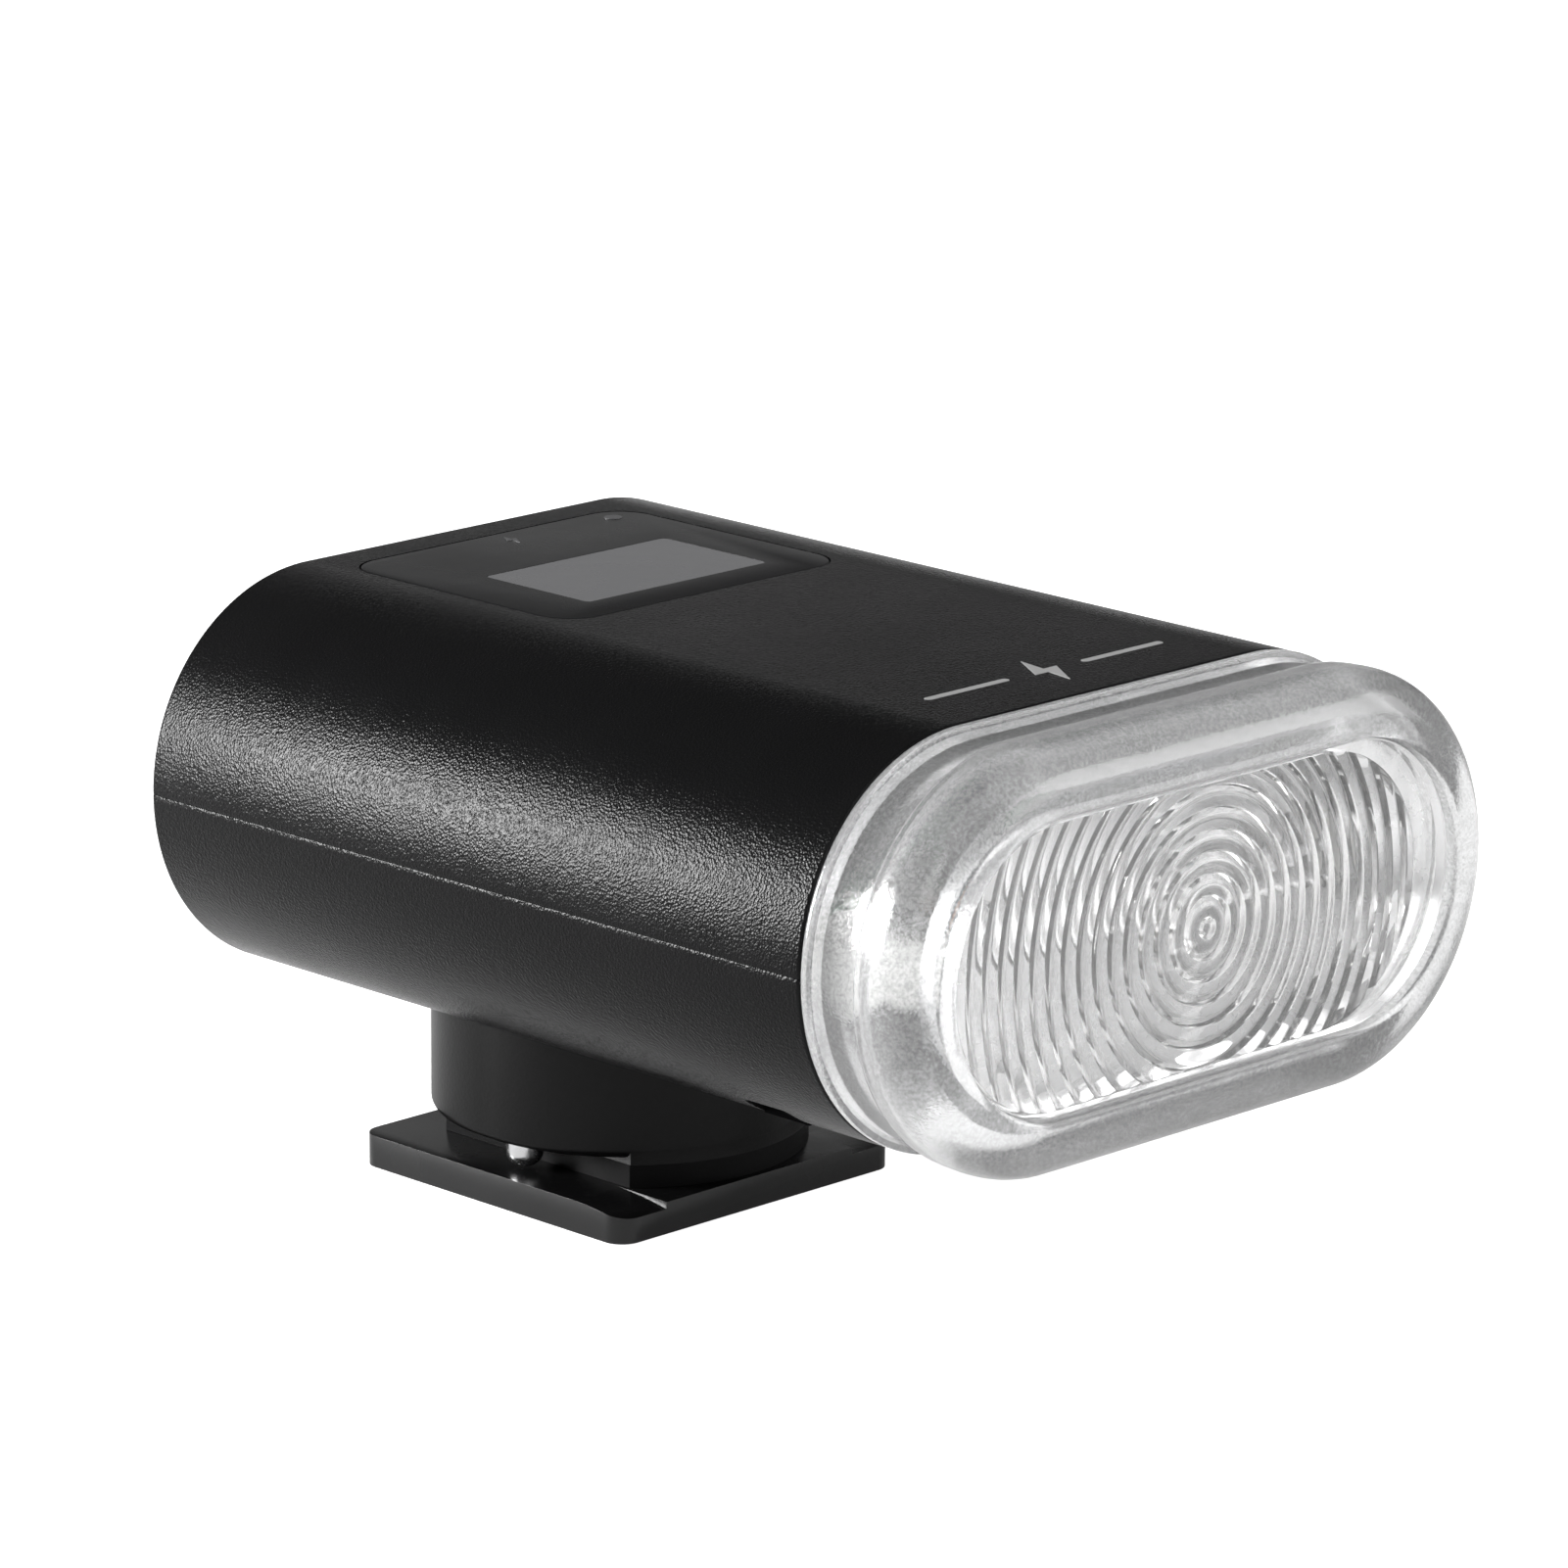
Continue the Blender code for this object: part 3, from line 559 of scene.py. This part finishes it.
def build_marks():
    """A bolt between two lines in front, and a small bolt and a dot above the display."""
    middle, row = 0.3 * MM, -27.2 * MM
    turned = [(-u, -v) for u, v in bolt(3.8 * MM)]
    mark("front_bolt_mark", turned, "Z", TOP, (middle, row), PRINT)
    line = rounded_rectangle(5.4 * MM, 0.42 * MM, 0.2 * MM)
    for side, hand in ((-1, "left"), (1, "right")):
        spot = (middle + side * 5.2 * MM, row)
        mark(f"front_line_mark_{hand}", line, "Z", TOP, spot, PRINT)
    face = PANEL_HIGH.z
    mark("panel_bolt_mark", bolt(1.5 * MM), "Z", face, (0.5 * MM, 8.75 * MM), DIM_PRINT)
    mark("panel_dot_mark", circle(0.45 * MM), "Z", face, (7.5 * MM, 8.9 * MM), DIM_PRINT)


# ---------------------------------------------------------------- head


HEAD_LOW, HEAD_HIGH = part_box("lens_housing")
HEAD_FRONT = HEAD_LOW.y
HEAD_BULGE = (HEAD_HIGH.x - HEAD_LOW.x - WIDTH) / 2
LENS_LOW, LENS_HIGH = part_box("fresnel_lens")
LENS_INSET = (WIDTH - (LENS_HIGH.x - LENS_LOW.x)) / 2
SPIGOT_REAR = HEAD_HIGH.y


def head_profile():
    """The clear housing's wall as (y, offset from the body's section), once round."""
    window = 0.08 * MM - LENS_INSET
    bulge_y = -35.9 * MM
    outer = [(-31.33, -0.1), (-31.36, -0.02), (-31.42, 0.01), (-31.6, 0.01), (-31.67, -0.02), (-31.71, -0.12)]
    outer += [(-31.74, -0.3), (-32.0, -0.36), (-32.8, -0.46), (-33.6, -0.53), (-34.3, -0.56), (-34.4, -0.52)]
    outer += [(-34.46, -0.34), (-34.5, -0.1), (-34.58, -0.01), (-34.8, 0.04), (-35.2, 0.08)]
    outer = [(y * MM, offset * MM) for y, offset in outer]
    for angle in quarter(12):
        y = bulge_y - (bulge_y - HEAD_FRONT) * math.sin(angle) ** 0.9
        outer.append((y, HEAD_BULGE + (window + 0.4 * MM - HEAD_BULGE) * (1 - math.cos(angle)) ** 1.15))
    outer += [(HEAD_FRONT + 0.02 * MM, window + 0.12 * MM), (HEAD_FRONT + 0.1 * MM, window + 0.01 * MM)]
    outer.append((HEAD_FRONT + 0.2 * MM, window))
    inner = [(-36.45 * MM, window), (-36.3 * MM, window + 0.1 * MM)]
    rest = [(-36.2, -2.2), (-35.6, -1.75), (-34.6, -1.6), (-34.2, -1.75), (-33.9, -2.5), (-31.6, -2.75)]
    inner += [(y * MM, offset * MM) for y, offset in rest]
    inner += [(SPIGOT_REAR, -2.75 * MM), (SPIGOT_REAR, -2.0 * MM), (-31.3 * MM, -1.95 * MM)]
    inner.append((-31.34 * MM, -1.5 * MM))
    return outer + inner


def groove_profile(front, back):
    """The lens front's rings as (radius, y): each rises steeply from a valley and falls gently."""
    pitch, first, depth = 1.02 * MM, 0.43 * MM, 0.26 * MM
    rise = ((0.0, 1.0), (0.09, 0.2), (0.15, 0.03))
    fall = ((0.3, 0.0), (0.55, 0.06), (0.72, 0.2), (0.84, 0.5))
    centre = ((0.0, 0.25), (0.22, 0.3), (0.36, 0.6))
    profile = [(across * MM, front + deep * depth) for across, deep in centre]
    radius = first
    while radius < 17 * MM:
        profile += [(radius + across * MM, front + deep * depth) for across, deep in rise]
        profile += [(radius + across * pitch, front + deep * depth) for across, deep in fall]
        radius += pitch
    outer = profile[-1][0]
    return profile + [(outer, back), (0.0, back)]


def build_lens():
    """The lens plate: concentric grooves inside a smooth rim."""
    front, back = LENS_LOW.y, LENS_HIGH.y
    shift, gap = -1.1 * MM, 0.012 * MM
    width, height = 30.8 * MM, 13.3 * MM
    profile = [(radius, y - back) for radius, y in groove_profile(front + 0.05 * MM, back)]
    disc = raw_object("fresnel_skin", lathe(profile, (0, back, MID - 0.15 * MM), "Y", 256))
    keep = prism("keep", stadium(width - gap, height - gap), front - MM, back + MM, "Y", (shift, MID))
    combined(disc, [keep], "INTERSECT")
    outer, inner = section(-LENS_INSET - 0.02 * MM), stadium(width + gap, height + gap)
    soft = section(-LENS_INSET - 0.1 * MM)
    rings = [ring_xz(outer, back), ring_xz(outer, front + 0.06 * MM), ring_xz(soft, front)]
    rings += [ring_xz(inner, front, x=shift), ring_xz(inner, back, x=shift)]
    rim = raw_object("rim", loft(rings, closed=True))
    combined(disc, [rim], "UNION")
    piece(disc, LENS, ["fresnel_lens"], angle=22)


def build_reflector():
    """A pressed mirror trough behind the lens: a flat rim, and a parabolic bowl round the tube."""
    low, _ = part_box("reflector")
    front, depth, sheet = low.y + 0.12 * MM, 7.4 * MM, 0.22 * MM
    rings = [ring_xz(section(-LENS_INSET - 0.1 * MM), front)]
    steps = 20
    for step in range(steps + 1):
        narrow = math.sqrt(1 - 0.985 * step / steps)
        outline = stadium(25.2 * MM + 3.6 * MM * narrow, 12.6 * MM * narrow)
        rings.append(ring_xz(outline, front + depth * step / steps))
    bm = loft(rings, caps=False)
    bm.verts.ensure_lookup_table()
    bm.faces.new(bm.verts[-len(rings[0]):])
    bmesh.ops.recalc_face_normals(bm, faces=bm.faces)
    made = raw_object("reflector_skin", bm)
    wall = made.modifiers.new("wall", "SOLIDIFY")
    wall.thickness = sheet
    wall.offset = 0
    apply_modifiers(made)
    tube_low, tube_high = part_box("flash_tube")
    spot = ((tube_low.y + tube_high.y) / 2, MID)
    combined(made, [rod("passage", 1.95 * MM, -0.02, 0.02, "X", spot)])
    piece(made, MIRROR, ["reflector"], angle=40)


def build_tube():
    """The glass flash tube with its two electrodes, held by a silicone boot at each end."""
    low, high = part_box("flash_tube")
    radius = (high.z - low.z) / 2
    half = high.x
    centre = (0, (low.y + high.y) / 2, (low.z + high.z) / 2)
    dome = [(radius * math.sin(a), half - radius * 0.6 * (1 - math.cos(a))) for a in quarter(6)]
    wall = 0.35 * MM
    inside = half - 1.6 * MM
    profile = dome + [(radius, -y) for radius, y in reversed(dome)]
    glass = raw_object("flash_tube_skin", lathe(profile, centre, "X", 48))
    hollow = [(0, inside), (radius - wall, inside), (radius - wall, -inside), (0, -inside)]
    combined(glass, [raw_object("bore", lathe(hollow, centre, "X", 48))])
    piece(glass, TUBE, ["flash_tube"])
    for side, hand in ((-1, "left"), (1, "right")):
        pin = [(0, 9.4), (0.5, 9.4), (0.62, 9.6), (0.62, 11.2), (0.3, 11.4), (0.3, 13.7), (0, 13.7)]
        pin = [(across * MM, side * along * MM) for across, along in pin]
        piece(raw_object(f"electrode_{hand}", lathe(pin, centre, "X", 24)), STEEL)
        boot_low, boot_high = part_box(f"tube_boot_{hand}")
        outer = (boot_high.z - boot_low.z) / 2
        inner = radius + 0.06 * MM
        inward, outward = sorted((boot_low.x, boot_high.x), key=abs)
        edge = side * 0.25 * MM
        seat = side * (half + 0.06 * MM)
        boot = [(0, outward), (outer - 0.25 * MM, outward), (outer, outward - edge), (outer, inward + edge)]
        boot += [(outer - 0.25 * MM, inward), (inner, inward), (inner, seat), (0, seat)]
        made = raw_object(f"tube_boot_{hand}_skin", lathe(boot, centre, "X", 48))
        piece(made, SILICONE, [f"tube_boot_{hand}"], angle=50)


def weld(obj):
    """Closes a skin whose profile ends where it began."""
    bm = bmesh.new()
    bm.from_mesh(obj.data)
    bmesh.ops.remove_doubles(bm, verts=bm.verts, dist=0.001 * MM)
    bmesh.ops.recalc_face_normals(bm, faces=bm.faces)
    bm.to_mesh(obj.data)
    bm.free()


def build_head():
    """The clear housing, and what shows through it."""
    rings = [ring_xz(section(offset), y) for y, offset in head_profile()]
    housing = raw_object("lens_housing_skin", loft(rings, closed=True))
    piece(housing, CLEAR, ["lens_housing"], angle=38)
    build_lens()
    build_reflector()
    build_tube()


# ---------------------------------------------------------------- neck, foot and contacts


NECK_RADIUS = 9.0 * MM
NECK_LENGTH = NECK_RADIUS + NECK_HIGH.y
PLATE_REAR = 9.0 * MM
FOOT_LOW, FOOT_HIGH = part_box("foot_plate")
FLANGE_TOP = 1.6 * MM
WEB_RADIUS, WEB_HALF = 8.9 * MM, 6.1 * MM
WEB_TOP = FOOT_HIGH.z
BUSH_HOLE = 3.08 * MM
PIN_HOLE = 1.1 * MM
PINS = {hand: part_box(f"ground_pin_{hand}") for hand in ("left", "right")}


def pin_spot(hand):
    """A ground pin's place on the foot."""
    low, high = PINS[hand]
    return (low.x + high.x) / 2, (low.y + high.y) / 2


def plate_outline():
    """The neck's plate: the lowest slice of the body's section."""
    steps = 24
    reach = WIDTH / 2 - ROUND
    first = math.acos((MID - NECK_HIGH.z) / ROUND)
    points = []
    for end in (-1, 1):
        for step in range(steps + 1):
            angle = first * (1 - step / steps if end == -1 else step / steps)
            points.append((end * (reach + ROUND * math.sin(angle)), MID - ROUND * math.cos(angle)))
    return points


def web_outline(radius, half):
    """A disc cut off flat where the camera's rails pass on either side."""
    steps = 40
    first = math.acos(half / radius)
    angles = [first + (math.pi - 2 * first) * step / steps for step in range(steps + 1)]
    rear = [(radius * math.cos(a), radius * math.sin(a)) for a in angles]
    return rear + [(-x, -y) for x, y in rear]


def build_neck():
    """The neck, a little longer than wide, and the plate that carries it under the body."""
    foot, soft, middle = NECK_LOW.z, 0.5 * MM, NECK_LENGTH / 2 - NECK_RADIUS
    rings = []
    for angle in quarter(8):
        inset, z = soft * (1 - math.sin(angle)), foot + soft * (1 - math.cos(angle))
        rings.append(ring_xy(neck_outline(inset), z, 0, middle))
    rings.append(ring_xy(neck_outline(0), NECK_HIGH.z - 0.25 * MM, 0, middle))
    neck = raw_object("neck_mount_skin", loft(rings))
    plate = prism("plate", plate_outline(), NECK_LOW.y, PLATE_REAR, "Y")
    grown = web_outline(WEB_RADIUS + 0.08 * MM, WEB_HALF + 0.02 * MM)
    boss = prism("boss", grown, WEB_TOP + 0.03 * MM, foot + MM, "Z")
    combined(neck, [plate, boss], "UNION")
    holes = [rod("pin_hole", PIN_HOLE, 0, foot + 3 * MM, "Z", pin_spot(hand)) for hand in PINS]
    combined(neck, holes)
    # The neck's finish is darkened as painted shade for the shadow that the body casts on it.
    piece(neck, NECK_BLACK_AND_SHADE, ["neck_mount"])


def neck_outline(inset):
    """The neck's outline, a stadium that is long from front to rear."""
    return [(-v, u) for u, v in stadium(NECK_LENGTH - 2 * inset, 2 * (NECK_RADIUS - inset), 60)]


def lead_in(start, end, low_top):
    """A cutter's (y, z) outline that lowers the foot's top in a soft curve towards the front."""
    steps = 10
    points = []
    for step in range(steps + 1):
        blend = step / steps
        points.append((start + (end - start) * blend, FLANGE_TOP - (FLANGE_TOP - low_top) * blend ** 1.7))
    return points + [(end, FLANGE_TOP + 0.4 * MM), (start, FLANGE_TOP + 0.4 * MM)]


def build_foot():
    """The shoe foot: two flanges, lower at the front to find their way in, and a raised web."""
    size = FOOT_HIGH - FOOT_LOW
    outline = rounded_rectangle(size.x, size.y, 1.1 * MM)
    foot = prism("foot_plate_skin", outline, 0, FLANGE_TOP, "Z")
    front = FOOT_LOW.y - 0.3 * MM
    cutters = []
    for side in (-1, 1):
        across = sorted((side * 6.3 * MM, side * 9.7 * MM))
        cutters.append(prism("lead", lead_in(-5.9 * MM, front, 1.2 * MM), *across, "X"))
    combined(foot, cutters)
    soften(foot, 0.18 * MM, 40)
    cutters = [rod("bush", BUSH_HOLE, -MM, 4 * MM, "Z", (0, 0))]
    for index in range(1, 5):
        low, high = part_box(f"foot_screw_{index}")
        spot = ((low.x + high.x) / 2, (low.y + high.y) / 2)
        cutters.append(rod("counterbore", 1.7 * MM, -MM, 1.05 * MM, "Z", spot))
    combined(foot, cutters)
    piece(foot, FOOT_BLACK, ["foot_plate"])
    web = prism("foot_web", web_outline(WEB_RADIUS, WEB_HALF), FLANGE_TOP + 0.01 * MM, WEB_TOP, "Z")
    combined(web, [rod("bush", BUSH_HOLE, -MM, 4 * MM, "Z", (0, 0))])
    piece(web, WEB_BLACK)


def screw_head(name, node, head, length, axis, outward, material):
    """A pan-head screw with a cross recess, where a CAD screw is. `outward` is its head's side."""
    low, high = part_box(node)
    middle = (low + high) / 2
    radius, height = head
    along = "XYZ".index(axis)
    face = high[along] if outward > 0 else low[along]
    profile = [(0, 0), (radius * 0.6, -0.02 * height), (radius * 0.9, -0.2 * height), (radius, -0.5 * height)]
    profile += [(radius, -height), (radius * 0.42, -height), (radius * 0.42, -length), (0, -length)]
    centre = middle.copy()
    centre[along] = face
    made = raw_object(name, lathe([(r, outward * h) for r, h in profile], centre, axis, 48))
    across = [centre[index] for index in range(3) if index != along]
    arm = cross(radius * 1.25, radius * 0.3)
    recess = prism("recess", arm, face + outward * height, face - outward * height * 0.6, axis, across)
    combined(made, [recess])
    piece(made, material, [node], angle=40)


def build_contacts():
    """The centre contact in its bush, the two ground pins, and the foot's screws."""
    low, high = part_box("contact_bush")
    radius = high.x
    bush = [(1.3, 0.0), (2.86, 0.0), (3.0, 0.14), (3.0, 2.5), (2.2, 2.5), (2.2, 0.5), (1.3, 0.4), (1.3, 0.0)]
    bush = [(r * MM * radius / (3 * MM), low.z + h * MM) for r, h in bush]
    made = raw_object("contact_bush_skin", lathe(bush, steps=72))
    weld(made)
    piece(made, CHIP, ["contact_bush"], angle=50)

    tip = [(1.05 * MM * math.sin(a), 0.42 * MM * (1 - math.cos(a))) for a in quarter(8)]
    stem = ((1.05, 1.3), (1.75, 1.3), (1.75, 2.0), (0.7, 2.0), (0.7, 3.6), (0, 3.6))
    tip += [(r * MM, h * MM) for r, h in stem]
    made = raw_object("centre_contact_skin", lathe(tip, steps=64))
    piece(made, BRASS, ["centre_contact"], "centre_contact_body", 50)

    for hand, (low, high) in PINS.items():
        radius = (high.x - low.x) / 2
        pin = [(radius * math.sin(a), low.z + 0.72 * MM * (1 - math.cos(a))) for a in quarter(10)]
        pin += [(radius, high.z), (0, high.z)]
        made = raw_object(f"ground_pin_{hand}_skin", lathe(pin, (*pin_spot(hand), 0), steps=64))
        piece(made, STEEL, [f"ground_pin_{hand}"], f"ground_pin_{hand}_body", 50)
    for index in range(1, 5):
        name = f"foot_screw_{index}"
        screw_head(f"{name}_skin", name, (1.5 * MM, 0.7 * MM), 5.5 * MM, "Z", -1, DARK_STEEL)


# ---------------------------------------------------------------- rear cover and controls


COVER_LOW, COVER_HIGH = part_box("rear_cover")
BUTTON_NAMES = ("power", "mode", "minus", "plus")
USB_LOW, USB_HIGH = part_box("usb_c_socket")
USB_SPOT = ((USB_LOW.x + USB_HIGH.x) / 2, (USB_LOW.z + USB_HIGH.z) / 2)
USB_WIDTH, USB_HEIGHT = USB_HIGH.x - USB_LOW.x, USB_HIGH.z - USB_LOW.z
COVER_SCREWS = [f"cover_screw_{half}_{hand}" for half in ("lower", "upper") for hand in ("left", "right")]
CAP = (5.6 * MM, 3.2 * MM)
CAP_RADIUS = 2.4 * MM
CAP_FRONT = 9.7 * MM


def node_spot(node):
    """The middle of a node, seen from behind."""
    low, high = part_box(node)
    return (low.x + high.x) / 2, (low.z + high.z) / 2


def cap_outline(name, grow):
    """A button cap's outline, grown all round."""
    if name == "power":
        return circle(CAP_RADIUS + grow, 72)
    return rounded_rectangle(CAP[0] + 2 * grow, CAP[1] + 2 * grow, 0.9 * MM + grow)


def build_rear_cover():
    """The rear cover, dished round its buttons, with the socket's opening and four screws."""
    outline = section((COVER_HIGH.x - COVER_LOW.x - WIDTH) / 2 + 0.22 * MM)
    cover = prism("rear_cover_skin", outline, COVER_LOW.y, COVER_HIGH.y, "Y", (0, MID), 0.3 * MM)
    cutters = []
    for name in BUTTON_NAMES:
        spot = node_spot(f"button_{name}")
        opening = cap_outline(name, 0.16 * MM)
        cutters.append(prism("opening", opening, 9 * MM, 13 * MM, "Y", spot))
        dish = [ring_xz(opening, COVER_HIGH.y - 0.4 * MM, spot[1], spot[0])]
        dish.append(ring_xz(cap_outline(name, 0.62 * MM), COVER_HIGH.y + 0.05 * MM, spot[1], spot[0]))
        cutters.append(raw_object("dish", loft(dish)))
    mouth = stadium(USB_WIDTH + 0.3 * MM, USB_HEIGHT + 0.3 * MM, 24)
    cutters.append(prism("usb_opening", mouth, 9 * MM, 13 * MM, "Y", USB_SPOT))
    for node in COVER_SCREWS:
        cutters.append(rod("counterbore", 1.08 * MM, 10.9 * MM, 13 * MM, "Y", node_spot(node)))
    combined(cover, cutters)
    piece(cover, BLACK, ["rear_cover"])
    for node in COVER_SCREWS:
        screw_head(f"{node}_skin", node, (0.9 * MM, 0.7 * MM), 5.6 * MM, "Y", 1, DARK_STEEL)


def button_icon(name):
    """The outlines of a button's mark."""
    if name == "minus":
        return [rounded_rectangle(1.5 * MM, 0.3 * MM, 0.1 * MM, 4)]
    if name == "plus":
        return [cross(1.5 * MM, 0.3 * MM)]
    if name == "mode":
        arcs = [arc_band(0.66 * MM, 0.24 * MM, start, start + 140) for start in (20, 200)]
        return [circle(0.2 * MM, 24)] + arcs
    stroke = rounded_rectangle(0.26 * MM, 1.1 * MM, 0.1 * MM, 4)
    return [arc_band(0.9 * MM, 0.26 * MM, 125, 415), [(u, v + 0.8 * MM) for u, v in stroke]]


def build_button(name):
    """A push button with a crowned face and its mark, on the button's own body."""
    node, body = f"button_{name}", f"button_{name}_body"
    low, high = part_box(node)
    x, z = node_spot(node)
    back = high.y
    flange = [ring_xz(cap_outline(name, 0.6 * MM), y, z, x) for y in (low.y, CAP_FRONT)]
    crown = [(0.0, 0.0), (0.0, 0.66), (0.06, 0.82), (0.2, 0.93), (0.42, 0.97), (0.9, 1.0)]
    rings = flange + [ring_xz(cap_outline(name, -inset * MM), CAP_FRONT + (back - CAP_FRONT) * part, z, x)
                      for inset, part in crown[:-1]]
    rings.append(ring_xz(cap_outline(name, -0.8 * MM), back, z, x))
    made = raw_object(f"{node}_skin", loft(rings))
    piece(made, BUTTON_BLACK, [node], body, 30)
    for index, outline in enumerate(button_icon(name), 1):
        raised = 0.03 * MM
        mark(f"{name}_mark_{index}", outline, "Y", back, (x, z), PRINT, body, raised)


def build_usb():
    """The charging socket: a thin oval shell with a tongue and its row of contacts."""
    x, z = USB_SPOT
    back, floor = USB_HIGH.y, 5.0 * MM
    stations = [(0, USB_LOW.y), (0, back - 0.08 * MM), (0.16 * MM, back), (0.44 * MM, back)]
    stations += [(0.6 * MM, back - 0.1 * MM), (0.6 * MM, floor)]
    rings = [ring_xz(stadium(USB_WIDTH - less, USB_HEIGHT - less, 24), y, z, x) for less, y in stations]
    socket = raw_object("usb_socket_skin", loft(rings))
    piece(socket, STEEL, ["usb_c_socket"], angle=40)
    blade = rounded_rectangle(6.6 * MM, 0.7 * MM, 0.2 * MM)
    tongue = prism("usb_tongue", blade, floor, 10.6 * MM, "Y", (x, z), 0.15 * MM)
    piece(tongue, CHIP)
    count, pitch = 10, 0.56 * MM
    strip = rounded_rectangle(0.28 * MM, 0.76 * MM, 0.04 * MM, 3)
    for index in range(count):
        spot = (x + (index - (count - 1) / 2) * pitch, z)
        piece(prism(f"usb_contact_{index + 1}", strip, 6.4 * MM, 10.3 * MM, "Y", spot), BRASS)


build_shells()
build_panel()
build_marks()
build_head()
build_neck()
build_foot()
build_contacts()
build_rear_cover()
for button in BUTTON_NAMES:
    build_button(button)
build_usb()

# ---------------------------------------------------------------- carried-over CAD nodes

FINISHES = {
    "textured_black": BLACK,
    "neck_black": NECK_BLACK_AND_SHADE,
    "foot_black": FOOT_BLACK,
    "button_black": BUTTON_BLACK,
    "panel_gloss": PANEL_GLOSS,
    "screen_glass": DISPLAY,
    "lamp": LAMP,
    "clear_head": CLEAR,
    "mirror_coat": MIRROR,
    "tube_glass": TUBE,
    "silicone": SILICONE,
    "steel": STEEL,
    "brass": BRASS,
    "insulator": CHIP,
    "circuit_board": BOARD,
    "component_black": CHIP,
    "ferrite": CHIP,
    "winding": COPPER,
    "capacitor_can": SLEEVE,
    "battery_foil": FOIL,
}
for row in frame["record"]["subparts"]:
    node = frame["nodes"][row["node"]]
    node.data.materials.clear()
    node.data.materials.append(FINISHES[row["material_slot"]])

# ---------------------------------------------------------------- floor, light and camera


def build_floor():
    """A pale light table: it glows a little, which keeps shadows faint, and lights the flash less."""
    bm = bmesh.new()
    bmesh.ops.create_grid(bm, x_segments=1, y_segments=1, size=4.0)
    floor = raw_object("floor", bm)
    floor.location.z = -0.2 * MM
    made, tree, shader = nodes_of("pale_floor")
    haze = texture(tree, "ShaderNodeTexNoise", 3, 2)
    tree.links.new(tint(tree, haze.outputs["Fac"], grey(0.88, 1), grey(0.9, 1)), shader.inputs["Base Color"])
    shader.inputs["Roughness"].default_value = 0.9
    shader.inputs["Specular IOR Level"].default_value = 0.1
    shader.inputs["Emission Color"].default_value = (1, 1, 1, 1)
    path = tree.nodes.new("ShaderNodeLightPath")
    glow = remap(tree, path.outputs["Is Camera Ray"], 0.14, 0.98, 0.0, 1.0)
    tree.links.new(glow, shader.inputs["Emission Strength"])
    floor.data.materials.append(made)


LIT_SPOT = Vector((0, -13 * MM, 18 * MM))


def add_light(name, kind, power, direction, distance=1.0):
    """A lamp that stands off in a direction and looks at the flash."""
    data = bpy.data.lights.new(name, kind)
    data.energy = power
    lamp = bpy.data.objects.new(name, data)
    bpy.context.scene.collection.objects.link(lamp)
    away = Vector(direction).normalized()
    lamp.location = LIT_SPOT + away * distance
    lamp.rotation_mode = "QUATERNION"
    lamp.rotation_quaternion = away.to_track_quat("Z", "Y")
    return data


def soft_box(name, direction, distance, size, power, spread):
    """A soft rectangular lamp, its spread in degrees."""
    data = add_light(name, "AREA", power, direction, distance)
    data.shape = "RECTANGLE"
    data.size, data.size_y = size
    data.spread = math.radians(spread)


def build_world():
    """A studio that is bright in front of the flash and dark behind it."""
    world = bpy.data.worlds.new("studio")
    world.use_nodes = True
    tree = world.node_tree
    place = tree.nodes.new("ShaderNodeTexCoord")
    towards = tree.nodes.new("ShaderNodeVectorMath")
    towards.operation = "DOT_PRODUCT"
    towards.inputs[1].default_value = Vector((0.5, -0.85, 0.1)).normalized()
    tree.links.new(place.outputs["Generated"], towards.inputs[0])
    level = remap(tree, towards.outputs["Value"], 0.0, 1.0, 0.05, 0.9)
    background = tree.nodes["Background"]
    tree.links.new(tint(tree, level, grey(0.06, 1), grey(0.9, 1)), background.inputs["Color"])
    background.inputs["Strength"].default_value = 1.0
    bpy.context.scene.world = world


SUNS = [
    ("front_sun", 0.8, 36, (-0.62, -0.62, 0.48)),
    ("overhead_sun", 0.7, 50, (-0.2, -0.42, 0.88)),
]


SOFT_BOXES = [
    ("rear_left_box", (-0.69, 0.69, 0.22), 0.5, (0.17, 0.19), 0.4, 40),
    ("rear_right_box", (0.70, 0.70, 0.17), 0.6, (0.4, 0.16), 0.022, 120),
    ("front_right_box", (0.72, -0.68, 0.2), 0.5, (0.3, 0.2), 0.25, 120),
]


def build_light():
    """Broad suns, and soft boxes that the glossy faces mirror."""
    build_world()
    for name, power, angle, direction in SUNS:
        add_light(name, "SUN", power, direction).angle = math.radians(angle)
    for box in SOFT_BOXES:
        soft_box(*box)


def build_camera():
    """The photograph's viewpoint: left of the lens, a little above."""
    azimuth, elevation, roll = (math.radians(angle) for angle in (-45.145, 14.895, 0.437))
    level = math.cos(elevation)
    back = Vector((math.sin(azimuth) * level, -math.cos(azimuth) * level, math.sin(elevation)))
    right = Vector((0, 0, 1)).cross(back).normalized()
    up = back.cross(right)
    turned_right = math.cos(roll) * right + math.sin(roll) * up
    turned_up = -math.sin(roll) * right + math.cos(roll) * up
    data = bpy.data.cameras.new("camera")
    data.lens, data.sensor_width = 181.3, 36.0
    data.clip_start, data.clip_end = 0.01, 20.0
    camera = bpy.data.objects.new("camera", data)
    bpy.context.scene.collection.objects.link(camera)
    turn = Matrix((turned_right, turned_up, back)).transposed()
    place = Matrix.Translation((-256.989 * MM, -266.351 * MM, 117.796 * MM))
    camera.matrix_world = place @ turn.to_4x4()
    bpy.context.scene.camera = camera


build_floor()
build_light()
build_camera()
bpy.context.scene.view_settings.view_transform = "Standard"
